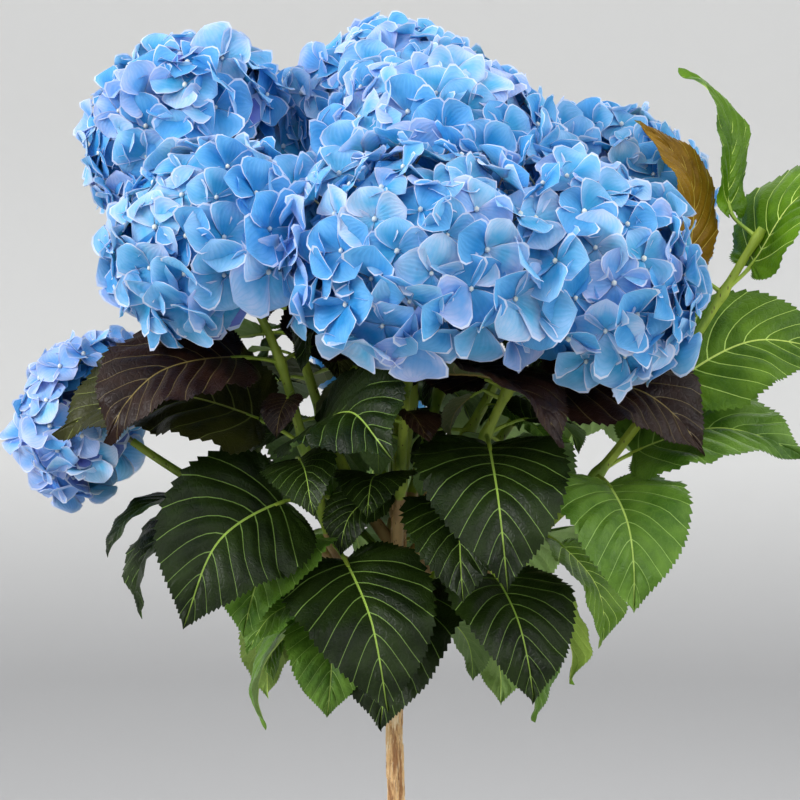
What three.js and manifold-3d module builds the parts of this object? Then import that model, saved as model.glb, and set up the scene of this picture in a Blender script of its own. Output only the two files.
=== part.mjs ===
// A bigleaf hydrangea grown as a small standard in a clay pot: one bare woody trunk, a knuckle of
// green shoots at its top, broad leaves in opposite pairs, and a blue mophead of four-sepalled
// florets on each flowering shoot. Millimetres and degrees, +Z up, the origin at the middle of the
// pot's underside.
import * as THREE from "three";
import { mergeVertices } from "three/addons/utils/BufferGeometryUtils.js";
import Module from "manifold-3d";

const wasm = await Module();
wasm.setup();

const CLEARANCE = 0.3; // left between neighbouring solids
const FINEST_DETAIL = 0.05;
const WELD = 1e-4; // corners closer than this are one

// ---- Pot and compost: sizes ----

const POT_HEIGHT = 190;
const POT_BRIM_RADIUS = 108;
const POT_FOOT_RADIUS = 74;
const POT_WALL = 8;
const RIM_HEIGHT = 34;
const RIM_PROUD = 6; // how far the rim band stands out of the wall
const EDGE_ROUNDING = 2.5;
const POT_SIDES = 36;
const DRAIN_HOLES = 3;
const DRAIN_RADIUS = 5;
const DRAIN_CIRCLE = 42;
const COMPOST_DROP = 20; // from the brim down to the compost at the wall
const COMPOST_MOUND = 6; // higher at the trunk
const COMPOST_TOP = POT_HEIGHT - COMPOST_DROP + COMPOST_MOUND;

// ---- Trunk: sizes ----

const TRUNK_FOOT = COMPOST_TOP + CLEARANCE;
const TRUNK_TOP = 640;
const TRUNK_FLARE_RADIUS = 11; // at the foot
const TRUNK_RADIUS = 5.4; // of the bare middle
const TRUNK_FLARE_FALL = 22; // how fast the flare fades up the trunk
const KNUCKLE_RADIUS = 7.5; // where the shoots leave
const KNUCKLE_FROM = 0.72; // shares of its height: it swells up to here,
const KNUCKLE_FULL = 0.8; // is full here,
const TOP_NARROWS_FROM = 0.82; // and narrows from here to its top
const TOP_NARROWING = 0.45; // by this share of its radius
const TRUNK_SWAY = 3; // how far it wanders from the plumb line

// ---- Shoots: sizes ----

const SHOOT_FOOT_RADIUS = 3.8;
const SHOOT_TIP_RADIUS = 2.3;
const SIDE_SPRAY_FOOT_RADIUS = 2.6;
const SIDE_SPRAY_TIP_RADIUS = 1.5;
const SHOOT_LEAVING = 0.4; // of the shoot's span: how long it keeps the way that it leaves,
const SHOOT_ARRIVING = 0.35; // and the way that it arrives
const LEAFLESS_STEM = 14; // of a leafy stem, below its first leaves
const STALK_SHARE = 0.55; // of the head's radius, that the flower stalk is long
const HEAD_LEAN_PER_MM = 0.3; // a flower head leans out more, the further it is from the trunk
const HEAD_NECK = 0.5; // the stalk enters the head this share of its radius below the middle
const LOW_SPRAYS = 5;
const LOW_SPRAY_FIRST = 14; // azimuth, with none in front, where other leaves hang
const LOW_SPRAY_TURN = 50;
const LOW_SPRAY_REACH = 58;
const LOW_SPRAY_REACH_SHARES = [0.8, 1.1];
const LOW_SPRAY_FOOT = 538;
const LOW_SPRAY_STAGGER = 9; // every other one leaves the knuckle this much higher
const LOW_SPRAY_RISE = [30, 44];
const LOW_SPRAY_LIFT = 12;
const LOW_SPRAY_ARRIVAL = 42;
const LOW_SPRAY_END = 5; // of bare tip above its leaves
const LOW_LEAF_TURNS = [-42, 48]; // from the spray's azimuth
const LOW_LEAF_PITCH = [-68, -56];
const LOW_LEAF_LENGTH = [70, 84];
const LOW_LEAF_PARTNER_LENGTH = [62, 78];

// ---- Leaves: sizes ----

const PETIOLE_SHARE = 0.24; // of the blade's length
const PETIOLE_RADIUS = 1.5;
const PETIOLE_RISE = 45; // at most, above the horizon
const BLADE_WIDTH_SHARE = 0.8; // of its length
const BLADE_THICKNESS_SHARE = 0.008; // half of it, at the midrib
const BLADE_FOLD = 0.2; // how far the margins lift, as a share of the half width
const BLADE_ARCH = 34; // degrees that the midrib turns down over its length
const BLADE_FROM = 0.3; // share of the leaf's line past which the blade has to be clear of its own kind
const LEAF_TURNS = [0, 14, -14, 28, -28]; // degrees that a leaf may turn to find room
const LEAF_SIZES = [1, 0.8, 0.62]; // shares of its length that it may grow to
const LEAF_BELOW_END = 0.02; // share of a shoot that stays above its last leaves
const BLADE_BROADEST = 0.68; // lower brings the broadest place nearer to the base
const BLADE_FULLNESS = 0.8; // lower rounds the outline
const BLADE_POINTED_FROM = 0.7; // share of the blade past which it draws in
const BLADE_POINT = 0.3; // by this share, towards its tip
const BLADE_THINNING = 0.6; // share of its thickness lost from base to tip
const THINNEST = 0.4;

// ---- Leaf pairs borne by rule: sizes ----

const NODE_SPACING = 50;
const PAIR_LOWEST_PITCH = -40;
const PAIR_HIGHEST_PITCH = -14;
const PAIR_PITCH_SPREAD = 6;
const PAIR_LENGTH = [92, 108];
const PAIR_TURN_SPREAD = 12;
const SIDEWAYS_TURN = 72; // from the way the shoot leans to each leaf of a sideways pair
const INNER_LEAF_SHARE = 0.6; // of its partner's length

// ---- Flower heads: sizes ----

const HEAD_FLATNESS = 0.86; // height over width
const HEAD_SPREAD = 122; // degrees from the head's axis to its last florets
const CORE_SHARE = 0.64; // of the head's radius
const FLORETS = 30; // on a head of full size
const FULL_HEAD_RADIUS = 70;
const FLORET_RADIUS = 22.5;
const FLORET_SIZES = [0.88, 1.12]; // shares of it, from the head's top to its lowest florets
const FLORET_REACH = 0.97; // of the head's radius, so that their flat tips end on it
const FLORET_DISH = 5; // how deep its middle lies below the sepals' tips
const FLORET_DEPTH_SHARE = 0.44; // of the head's radius, from the tips down to the pedicel's foot
const FLORET_HIDDEN = 0.88; // deeper than this in a neighbouring head, there is no floret
const GOLDEN_ANGLE = 137.508;

const UP = new THREE.Vector3(0, 0, 1);

// ---- Materials ----

const clay = new THREE.MeshStandardMaterial({ color: 0xb4694a, roughness: 0.85, metalness: 0 });
const compost = new THREE.MeshStandardMaterial({ color: 0x2e2119, roughness: 0.95, metalness: 0 });
const bark = new THREE.MeshStandardMaterial({ color: 0xa5845a, roughness: 0.9, metalness: 0 });
const greenStem = new THREE.MeshStandardMaterial({ color: 0x87a136, roughness: 0.55, metalness: 0 });
const foliage = new THREE.MeshStandardMaterial({ color: 0x2f4a22, roughness: 0.6, metalness: 0 });
const blossom = new THREE.MeshStandardMaterial({ color: 0x5f9fe0, roughness: 0.6, metalness: 0 });

// ---- Directions, solids and chance ----

// A unit vector: azimuth 0 is +X and 90 is +Y, and pitch is above the horizon.
function direction(azimuth, pitch) {
  const a = THREE.MathUtils.degToRad(azimuth);
  const p = THREE.MathUtils.degToRad(pitch);
  return new THREE.Vector3(Math.cos(a) * Math.cos(p), Math.sin(a) * Math.cos(p), Math.sin(p));
}

function azimuthOf(point) {
  return THREE.MathUtils.radToDeg(Math.atan2(point.y, point.x));
}

function mix(from, to, share) {
  return from + (to - from) * share;
}

// A seeded run of numbers from 0 to 1, by the minimal standard generator.
function chance(seed) {
  let state = seed;
  return () => {
    state = (state * 16807) % 2147483647;
    return state / 2147483647;
  };
}

function solidOf(geometry) {
  const bare = geometry.clone();
  bare.deleteAttribute("normal");
  bare.deleteAttribute("uv");
  const merged = mergeVertices(bare, WELD);
  return new wasm.Manifold(
    new wasm.Mesh({
      numProp: 3,
      vertProperties: merged.attributes.position.array,
      triVerts: new Uint32Array(merged.index.array),
    }),
  );
}

function meshOf(name, solid, material) {
  const made = solid.getMesh();
  const geometry = new THREE.BufferGeometry();
  geometry.setAttribute("position", new THREE.BufferAttribute(new Float32Array(made.vertProperties), 3));
  geometry.setIndex(new THREE.BufferAttribute(new Uint32Array(made.triVerts), 1));
  geometry.computeVertexNormals();
  const mesh = new THREE.Mesh(geometry, material);
  mesh.name = name;
  return mesh;
}

// The largest piece of a solid, without the scraps and slivers that a cut or join can leave.
function mainPiece(solid) {
  const pieces = solid.decompose().sort((a, b) => b.volume() - a.volume());
  return pieces[0].simplify(FINEST_DETAIL);
}

// ---- A limb: a closed tube along a curve, whose section changes on the way ----

// A quad between two of a tube's sides can be cut along either diagonal. Every other side's is turned
// here, so that a thin blade's upper and lower faces are cut alike and stay apart where it twists.
function turnEveryOtherDiagonal(tube, sides, steps) {
  const index = tube.index.array;
  for (let side = 1; side < sides; side += 2) {
    for (let step = 0; step < steps; step++) {
      const at = (side * steps + step) * 6;
      const [a, b, d] = index.subarray(at, at + 3);
      const c = index[at + 4];
      index.set([a, b, c, a, c, d], at);
    }
  }
}

// section(share) gives the half width across, the half thickness, and how far the sides are lifted,
// in mm. facing is the way that the thickness points at the limb's foot.
function limb(curve, section, { sides = 6, steps = 4, from = 0, to = 1, facing = UP } = {}) {
  const tube = new THREE.CylinderGeometry(1, 1, 1, sides, steps);
  turnEveryOtherDiagonal(tube, sides, steps);
  const place = tube.attributes.position;
  const point = new THREE.Vector3();
  for (let i = 0; i < place.count; i++) {
    point.fromBufferAttribute(place, i);
    const share = mix(from, to, point.y + 0.5);
    const { across, thick, lift = 0 } = section(share);
    const along = curve.getTangentAt(share);
    const side = new THREE.Vector3().crossVectors(along, facing).normalize();
    const face = new THREE.Vector3().crossVectors(side, along);
    const made = curve.getPointAt(share);
    made.addScaledVector(side, point.x * across);
    made.addScaledVector(face, point.z * thick + Math.abs(point.x) * lift);
    place.setXYZ(i, made.x, made.y, made.z);
  }
  return tube;
}

// A round limb, as a stem is.
function stem(curve, footRadius, tipRadius, options = {}) {
  const radiusAt = (share) => mix(footRadius, tipRadius, share);
  const round = (share) => ({ across: radiusAt(share), thick: radiusAt(share) });
  const facing = new THREE.Vector3(0.31, 0.95, 0.05).normalize(); // never along a rising stem
  return limb(curve, round, { facing, ...options });
}

// ---- Clay pot, with three drain holes, and its compost ----

const wallRadiusAt = (z) => mix(POT_FOOT_RADIUS, POT_BRIM_RADIUS - RIM_PROUD, z / POT_HEIGHT);

function lathe(profile, segments) {
  const turned = new THREE.LatheGeometry(
    profile.map(([r, z]) => new THREE.Vector2(r, z)),
    segments,
  );
  return turned.rotateX(Math.PI / 2);
}

function pot() {
  const rimFoot = POT_HEIGHT - RIM_HEIGHT;
  const innerAt = (z) => wallRadiusAt(z) - POT_WALL;
  const turned = lathe(
    [
      [0, 0],
      [POT_FOOT_RADIUS - EDGE_ROUNDING, 0],
      [POT_FOOT_RADIUS, EDGE_ROUNDING],
      [wallRadiusAt(rimFoot), rimFoot],
      [wallRadiusAt(rimFoot) + RIM_PROUD, rimFoot + EDGE_ROUNDING],
      [POT_BRIM_RADIUS, POT_HEIGHT - EDGE_ROUNDING],
      [POT_BRIM_RADIUS - EDGE_ROUNDING, POT_HEIGHT],
      [innerAt(POT_HEIGHT) + EDGE_ROUNDING, POT_HEIGHT],
      [innerAt(POT_HEIGHT - EDGE_ROUNDING), POT_HEIGHT - EDGE_ROUNDING],
      [innerAt(POT_WALL), POT_WALL],
      [0, POT_WALL],
    ],
    POT_SIDES,
  );
  let made = solidOf(turned);
  for (let i = 0; i < DRAIN_HOLES; i++) {
    const drill = new THREE.CylinderGeometry(DRAIN_RADIUS, DRAIN_RADIUS, POT_WALL * 3, 12);
    const turn = (i / DRAIN_HOLES) * 2 * Math.PI;
    drill.rotateX(Math.PI / 2).translate(DRAIN_CIRCLE * Math.cos(turn), DRAIN_CIRCLE * Math.sin(turn), 0);
    made = made.subtract(solidOf(drill));
  }
  return made;
}

function compostFill() {
  const edgeTop = POT_HEIGHT - COMPOST_DROP;
  const gapAcross = POT_WALL + CLEARANCE * 1.2; // the wall slopes, so a little more than the gap
  const floor = POT_WALL + CLEARANCE;
  return solidOf(
    lathe(
      [
        [0, floor],
        [wallRadiusAt(floor) - gapAcross, floor],
        [wallRadiusAt(edgeTop) - gapAcross, edgeTop],
        [wallRadiusAt(edgeTop) * 0.55, edgeTop + COMPOST_MOUND * 0.6],
        [TRUNK_FLARE_RADIUS * 1.6, COMPOST_TOP],
        [0, COMPOST_TOP],
      ],
      POT_SIDES,
    ),
  );
}

// ---- Trunk: a thin woody stem, from a flat cut on the compost to the knuckle of shoots ----

const trunkCurve = new THREE.CatmullRomCurve3([
  new THREE.Vector3(0, 0, TRUNK_FOOT),
  new THREE.Vector3(0, 0, TRUNK_FOOT + 20),
  new THREE.Vector3(TRUNK_SWAY, -TRUNK_SWAY / 2, mix(TRUNK_FOOT, TRUNK_TOP, 0.35)),
  new THREE.Vector3(-TRUNK_SWAY, TRUNK_SWAY / 2, mix(TRUNK_FOOT, TRUNK_TOP, 0.7)),
  new THREE.Vector3(0, 0, TRUNK_TOP),
]);

function trunkRadius(share) {
  const { smoothstep } = THREE.MathUtils;
  const flare = (TRUNK_FLARE_RADIUS - TRUNK_RADIUS) * Math.exp(-share * TRUNK_FLARE_FALL);
  const knuckle = (KNUCKLE_RADIUS - TRUNK_RADIUS) * smoothstep(share, KNUCKLE_FROM, KNUCKLE_FULL);
  const narrowing = smoothstep(share, TOP_NARROWS_FROM, 1) * TOP_NARROWING;
  return (TRUNK_RADIUS + flare + knuckle) * (1 - narrowing);
}

function trunk(grown = 0) {
  const radiusAt = (share) => trunkRadius(share) + grown;
  const round = (share) => ({ across: radiusAt(share), thick: radiusAt(share) });
  const facing = new THREE.Vector3(0, 1, 0);
  const made = solidOf(limb(trunkCurve, round, { sides: 9, steps: 16, facing }));
  // The foot is a level cut: nothing of it reaches below the compost's top.
  return made.trimByPlane([0, 0, 1], TRUNK_FOOT - grown);
}

// ---- Shoots: a bough from the knuckle, and the stem that carries leaves on to the flowers ----

function trunkCentre(z) {
  return trunkCurve.getPointAt((z - TRUNK_FOOT) / (TRUNK_TOP - TRUNK_FOOT));
}

function headAxis(middle) {
  return direction(azimuthOf(middle), 90 - Math.hypot(middle.x, middle.y) * HEAD_LEAN_PER_MM);
}

// foot is the height at which it leaves the trunk, and lift its pitch there. It arrives at end along
// arrival.
function shootCurve(foot, lift, end, arrival) {
  const start = trunkCentre(foot);
  const span = start.distanceTo(end);
  const leaving = direction(azimuthOf(end), lift);
  return new THREE.CubicBezierCurve3(
    start,
    start.clone().addScaledVector(leaving, span * SHOOT_LEAVING),
    end.clone().addScaledVector(arrival, -span * SHOOT_ARRIVING),
    end,
  );
}

// ---- Leaves: a petiole and a broad pointed blade, folded up a little and arched on its midrib ----

// Half the blade's width over its greatest half width, from the base at 0 to the tip at 1.
function bladeOutline(share) {
  const drawnIn = THREE.MathUtils.smoothstep(share, BLADE_POINTED_FROM, 1) * BLADE_POINT;
  return Math.sin(Math.PI * share ** BLADE_BROADEST) ** BLADE_FULLNESS * (1 - drawnIn);
}

// The midrib's line, with the petiole before it, from a foot on the stem.
function leafCurve(foot, { azimuth, pitch, length }) {
  const petiole = length * PETIOLE_SHARE;
  const rise = Math.min(pitch + BLADE_ARCH, PETIOLE_RISE);
  const joint = foot.clone().addScaledVector(direction(azimuth, rise), petiole);
  const nearHalf = direction(azimuth, pitch + BLADE_ARCH / 2);
  const farHalf = direction(azimuth, pitch - BLADE_ARCH / 2);
  const middle = joint.clone().addScaledVector(nearHalf, length * 0.5);
  const tip = middle.clone().addScaledVector(farHalf, length * 0.5);
  return new THREE.CatmullRomCurve3([foot, joint, middle, tip], false, "centripetal");
}

function leaf(foot, shape, from = 0) {
  const curve = leafCurve(foot, shape);
  const jointShare = PETIOLE_SHARE / (1 + PETIOLE_SHARE);
  const halfWidth = (shape.length * BLADE_WIDTH_SHARE * (shape.slim ?? 1)) / 2;
  const section = (share) => {
    if (share <= jointShare) return { across: PETIOLE_RADIUS, thick: PETIOLE_RADIUS };
    const way = (share - jointShare) / (1 - jointShare);
    const across = Math.max(halfWidth * bladeOutline(way), THINNEST);
    const midrib = shape.length * BLADE_THICKNESS_SHARE * (1 - way * BLADE_THINNING);
    return { across, thick: Math.max(midrib, THINNEST), lift: across * BLADE_FOLD };
  };
  const { azimuth, pitch, roll = 0 } = shape;
  const facing = direction(azimuth, pitch + 90);
  facing.applyAxisAngle(direction(azimuth, pitch), THREE.MathUtils.degToRad(roll));
  return solidOf(limb(curve, section, { sides: 4, steps: 5, facing, from }));
}

// ---- Flower heads: a small core that florets on pedicels stand out of, but for its underside ----

function headFrame(shoot) {
  const axis = headAxis(shoot.middle);
  const right = new THREE.Vector3().crossVectors(axis, new THREE.Vector3(0.2, 1, 0.1)).normalize();
  const ahead = new THREE.Vector3().crossVectors(axis, right);
  return { axis, right, ahead };
}

// How far out a point is, in a head's own measure: 1 is on the surface of its florets.
function depthInHead(point, shoot) {
  const { axis } = headFrame(shoot);
  const offset = point.clone().sub(shoot.middle);
  const along = offset.dot(axis);
  const across = Math.sqrt(Math.max(offset.lengthSq() - along * along, 0));
  return Math.hypot(along / HEAD_FLATNESS, across) / shoot.radius;
}

// Places on the head in a golden spiral, from the top down. Lower florets are larger.
function floretPlaces(shoot, count) {
  const { axis, right, ahead } = headFrame(shoot);
  const lowest = Math.cos(THREE.MathUtils.degToRad(HEAD_SPREAD));
  return Array.from({ length: count }, (_, i) => {
    const share = (i + 0.5) / count;
    const upright = mix(1, lowest, share);
    const across = Math.sqrt(1 - upright * upright);
    const turn = THREE.MathUtils.degToRad(i * GOLDEN_ANGLE);
    const outward = new THREE.Vector3()
      .addScaledVector(axis, upright * HEAD_FLATNESS)
      .addScaledVector(right, across * Math.cos(turn))
      .addScaledVector(ahead, across * Math.sin(turn));
    return {
      tip: shoot.middle.clone().addScaledVector(outward, shoot.radius * FLORET_REACH),
      normal: outward.clone().normalize(),
      size: mix(...FLORET_SIZES, share),
      turn,
    };
  });
}

// Four sepals as one shallow dish, whose corners are their tips, narrowing to the pedicel's foot in
// the core.
function floret({ tip, normal, size, turn }, depth) {
  const dish = new THREE.ConeGeometry(FLORET_RADIUS * size, depth, 4, 1);
  const place = dish.attributes.position;
  const point = new THREE.Vector3();
  const spin = new THREE.Quaternion().setFromAxisAngle(normal, turn);
  const upright = new THREE.Quaternion().setFromUnitVectors(UP, normal).premultiply(spin);
  for (let i = 0; i < place.count; i++) {
    point.fromBufferAttribute(place, i);
    const isMiddle = point.y < 0 && Math.hypot(point.x, point.z) < 1;
    const height = isMiddle ? -FLORET_DISH : -depth / 2 - point.y;
    point.set(point.x, point.z, height).applyQuaternion(upright).add(tip);
    place.setXYZ(i, point.x, point.y, point.z);
  }
  return solidOf(dish);
}

function headCore(shoot) {
  const { axis, right, ahead } = headFrame(shoot);
  const ball = new THREE.SphereGeometry(shoot.radius * CORE_SHARE, 9, 6);
  ball.scale(1, HEAD_FLATNESS, 1);
  ball.applyMatrix4(new THREE.Matrix4().makeBasis(right, axis, ahead.clone().negate()));
  return solidOf(ball.translate(shoot.middle.x, shoot.middle.y, shoot.middle.z));
}

// ---- The shoots: what each carries, from the knuckle up ----

// Two leaves on opposite sides of a stem at a height. The partner is like the first but for what is
// said of it.
function pair(height, azimuth, pitch, length, roll = 0, partner = {}) {
  const first = { height, azimuth, pitch, length, roll };
  const across = { ...first, azimuth: azimuth + 180, roll: -roll, ...partner };
  return [first, across];
}

// Pairs up a stem that leans out at an azimuth, each a quarter turn on from the one below. The leaves
// of a sideways pair swing outwards to the light, and the inner leaf of the other pairs stays small.
function crossedPairs(lowest, highest, outward, seed) {
  const next = chance(seed);
  const count = Math.round((highest - lowest) / NODE_SPACING) + 1;
  return Array.from({ length: count }, (_, i) => {
    const height = mix(lowest, highest, count > 1 ? i / (count - 1) : 0);
    const level = mix(PAIR_LOWEST_PITCH, PAIR_HIGHEST_PITCH, i / count);
    const pitch = level + mix(-PAIR_PITCH_SPREAD, PAIR_PITCH_SPREAD, next());
    const length = mix(...PAIR_LENGTH, next());
    const middle = outward + mix(-PAIR_TURN_SPREAD, PAIR_TURN_SPREAD, next());
    if (i % 2 === 1) return pair(height, middle, pitch, length, 0, { length: length * INNER_LEAF_SHARE });
    return pair(height, middle + SIDEWAYS_TURN, pitch, length, 0, { azimuth: middle - SIDEWAYS_TURN });
  }).flat();
}

const SHOOTS = [
  {
    name: "left_front",
    middle: new THREE.Vector3(-106, -70, 780),
    radius: 68,
    foot: 548,
    lift: 40,
    leaves: [
      ...pair(606, -70, -55, 104, 12, { azimuth: 150, pitch: -58, length: 62, roll: 0 }),
      ...pair(634, 222, -40, 106, -52),
      ...pair(664, -38, -8, 102, 42, { azimuth: 186, pitch: -4, length: 126, roll: -34 }),
      ...pair(712, 205, -27, 102, -30, { pitch: -10 }),
    ],
  },
  {
    name: "right_front",
    middle: new THREE.Vector3(103, -78, 762),
    radius: 76,
    foot: 556,
    lift: 55,
    leaves: [
      ...pair(590, -112, -64, 92, 0, { length: 84 }),
      ...pair(670, -88, -48, 106),
      ...pair(704, -20, -22, 106, 38, { azimuth: 168, pitch: -4, roll: -34 }),
    ],
  },
  {
    name: "centre_front",
    middle: new THREE.Vector3(8, -110, 770),
    radius: 75,
    foot: 572,
    lift: 72,
    leaves: [
      ...pair(640, 190, -50, 80, -30, { azimuth: 20 }),
      ...pair(704, -64, -24, 96, 0, { azimuth: 200 }),
    ],
  },
  {
    name: "upper_centre",
    middle: new THREE.Vector3(24, -20, 835),
    radius: 75,
    foot: 628,
    lift: 80,
    leaves: [...crossedPairs(690, 760, -120, 11)],
  },
  {
    name: "left_back",
    middle: new THREE.Vector3(-132, 40, 854),
    radius: 71,
    foot: 600,
    lift: 48,
    leaves: [...crossedPairs(680, 780, 165, 23)],
  },
  {
    name: "top_back",
    middle: new THREE.Vector3(-2, 75, 874),
    radius: 67,
    foot: 632,
    lift: 76,
    leaves: [...crossedPairs(710, 810, 92, 31)],
  },
  {
    name: "right_back",
    middle: new THREE.Vector3(134, 40, 812),
    radius: 68,
    foot: 612,
    lift: 46,
    leaves: [...crossedPairs(670, 760, 16, 47)],
  },
  {
    name: "lower_left",
    middle: new THREE.Vector3(-184, 10, 681),
    radius: 56,
    foot: 578,
    lift: 26,
    leaves: [...pair(606, 100, -35, 88), ...pair(630, 200, -28, 70)],
  },
  {
    name: "back_left",
    middle: new THREE.Vector3(-76, 120, 822),
    radius: 68,
    foot: 620,
    lift: 50,
    leaves: [...crossedPairs(670, 750, 122, 59)],
  },
  {
    name: "back_right",
    middle: new THREE.Vector3(62, 142, 805),
    radius: 68,
    foot: 606,
    lift: 48,
    leaves: [...crossedPairs(650, 740, 66, 67)],
  },
  {
    name: "low_right_back",
    middle: new THREE.Vector3(128, 112, 742),
    radius: 57,
    foot: 586,
    lift: 40,
    leaves: [...crossedPairs(620, 690, 41, 71)],
  },
  {
    name: "low_back",
    middle: new THREE.Vector3(-6, 176, 735),
    radius: 56,
    foot: 566,
    lift: 40,
    leaves: [...crossedPairs(610, 680, 92, 83)],
  },
];

const LEAFY_SHOOTS = [
  {
    name: "low_right",
    end: new THREE.Vector3(54, -30, 600),
    foot: 540,
    lift: 22,
    arrival: direction(-30, 55),
    footRadius: SIDE_SPRAY_FOOT_RADIUS,
    tipRadius: SIDE_SPRAY_TIP_RADIUS,
    leaves: pair(594, -74, -50, 90, 0, { azimuth: 12, pitch: -58, length: 80 }),
  },
  {
    name: "right_leafy",
    end: new THREE.Vector3(212, -40, 790),
    foot: 560,
    lift: 22,
    arrival: direction(-10, 58),
    footRadius: SHOOT_FOOT_RADIUS,
    tipRadius: SHOOT_TIP_RADIUS,
    leaves: [
      ...pair(612, 95, -40, 90, 0, { azimuth: -50, pitch: -60, length: 70 }),
      ...pair(646, -8, -2, 104, 34, { azimuth: -78, pitch: -46, length: 98, roll: 0 }),
      ...pair(684, -6, 10, 104, 48, { azimuth: 110, pitch: -20, roll: 0 }),
      ...pair(752, -12, 38, 96, 30, { azimuth: 178, pitch: 72, length: 98, roll: -40, slim: 0.5 }),
      ...pair(786, -30, 58, 60, 0, { azimuth: 146, pitch: 72, length: 100, slim: 0.45 }),
    ],
  },
];

// Short side shoots low on the knuckle, whose leaves hang round the trunk's top.

function lowSprays() {
  const next = chance(97);
  return Array.from({ length: LOW_SPRAYS }, (_, i) => {
    const azimuth = LOW_SPRAY_FIRST + i * LOW_SPRAY_TURN;
    const foot = LOW_SPRAY_FOOT + (i % 2) * LOW_SPRAY_STAGGER;
    const reach = LOW_SPRAY_REACH * mix(...LOW_SPRAY_REACH_SHARES, next());
    const end = direction(azimuth, 0).multiplyScalar(reach);
    end.z = foot + mix(...LOW_SPRAY_RISE, next());
    const pitch = mix(...LOW_LEAF_PITCH, next());
    const length = mix(...LOW_LEAF_LENGTH, next());
    return {
      name: `low_${i + 1}`,
      end,
      foot,
      lift: LOW_SPRAY_LIFT,
      arrival: direction(azimuth, LOW_SPRAY_ARRIVAL),
      footRadius: SIDE_SPRAY_FOOT_RADIUS,
      tipRadius: SIDE_SPRAY_TIP_RADIUS,
      leaves: pair(end.z - LOW_SPRAY_END, azimuth + LOW_LEAF_TURNS[0], pitch, length, 0, {
        azimuth: azimuth + LOW_LEAF_TURNS[1],
        length: mix(...LOW_LEAF_PARTNER_LENGTH, next()),
      }),
    };
  });
}

// ---- Putting the plant together ----

const plant = new THREE.Group();
const placed = []; // every solid that later ones have to stay clear of: { owner, solid }

function keep(owner, solid) {
  placed.push({ owner, solid });
  return solid;
}

function hasRoom(owner, solid) {
  return placed.every((one) => one.owner === owner || one.solid.minGap(solid, CLEARANCE * 2) >= CLEARANCE);
}

function shareAtHeight(curve, height) {
  let low = 0;
  let high = 1;
  for (let i = 0; i < 20; i++) {
    const middle = (low + high) / 2;
    if (curve.getPointAt(middle).z < height) low = middle;
    else high = middle;
  }
  return low;
}

// A flowering shoot bends out from the knuckle and arrives in its head along the head's axis.
function floweringShoot(shoot) {
  const axis = headAxis(shoot.middle);
  const end = shoot.middle.clone().addScaledVector(axis, -shoot.radius * HEAD_NECK);
  return { ...shoot, end, arrival: axis, footRadius: SHOOT_FOOT_RADIUS, tipRadius: SHOOT_TIP_RADIUS };
}

// Adds the curve, and the shares of it where the bare bough, the leafy stem and the flower stalk end.
function laidOut(shoot) {
  const curve = shootCurve(shoot.foot, shoot.lift, shoot.end, shoot.arrival);
  const length = curve.getLength();
  const lowest = Math.min(...shoot.leaves.map((one) => one.height));
  const boughEnd = shareAtHeight(curve, lowest) - LEAFLESS_STEM / length;
  const stemEnd = shoot.middle ? 1 - (shoot.radius * STALK_SHARE) / length : 1;
  return { ...shoot, curve, boughEnd, stemEnd, gapShare: CLEARANCE / length };
}

function stretch(shoot, from, to, grown = 0) {
  const radiusAt = (share) => mix(shoot.footRadius, shoot.tipRadius, share) + grown;
  return solidOf(stem(shoot.curve, radiusAt(from), radiusAt(to), { from, to }));
}

// The bough's foot is scooped round the trunk and the boughs before it, and stays clear of them.
function bough(shoot, before) {
  const whole = stretch(shoot, 0, shoot.boughEnd);
  const clear = before.reduce(
    (rest, other) => rest.subtract(stretch(other, 0, other.boughEnd, CLEARANCE)),
    whole.subtract(trunk(CLEARANCE)),
  );
  return mainPiece(clear);
}

function leafyStem(shoot) {
  return stretch(shoot, shoot.boughEnd + shoot.gapShare, shoot.stemEnd);
}

// A leaf that finds no room turns a little either way or stays smaller, and one that still has none
// is left out.
function leavesWithRoom(owner, shoot) {
  const found = [];
  const ownBlades = [];
  const tries = LEAF_SIZES.flatMap((size) => LEAF_TURNS.map((turn) => ({ size, turn })));
  for (const shape of shoot.leaves) {
    const share = Math.min(shareAtHeight(shoot.curve, shape.height), shoot.stemEnd - LEAF_BELOW_END);
    const foot = shoot.curve.getPointAt(share);
    for (const { size, turn } of tries) {
      const tried = { ...shape, azimuth: shape.azimuth + turn, length: shape.length * size };
      const whole = leaf(foot, tried);
      const blade = leaf(foot, tried, BLADE_FROM);
      const isFreeOfOwn = ownBlades.every((other) => other.minGap(blade, 1) >= CLEARANCE);
      if (!isFreeOfOwn || !hasRoom(owner, whole)) continue;
      found.push(whole);
      ownBlades.push(blade);
      break;
    }
  }
  return found;
}

function florets(owner, shoot, heads) {
  const count = Math.round(FLORETS * (shoot.radius / FULL_HEAD_RADIUS) ** 2);
  return floretPlaces(shoot, count)
    .filter(({ tip }) => heads.every((other) => other === shoot || depthInHead(tip, other) > FLORET_HIDDEN))
    .map((place) => floret(place, shoot.radius * FLORET_DEPTH_SHARE))
    .filter((made) => hasRoom(owner, made));
}

const shoots = [
  ...SHOOTS.slice(0, 3).map(floweringShoot),
  ...LEAFY_SHOOTS,
  ...lowSprays(),
  ...SHOOTS.slice(3).map(floweringShoot),
].map(laidOut);

plant.add(meshOf("pot", pot(), clay));
plant.add(meshOf("compost", compostFill(), compost));
plant.add(meshOf("trunk", keep("trunk", trunk()), bark));

const stems = new Map();
for (const [i, shoot] of shoots.entries()) {
  const limbName = `bough_${shoot.name}`;
  plant.add(meshOf(limbName, keep(limbName, bough(shoot, shoots.slice(0, i))), greenStem));
  stems.set(shoot, keep(`leaves_${shoot.name}`, leafyStem(shoot)));
}

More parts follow.
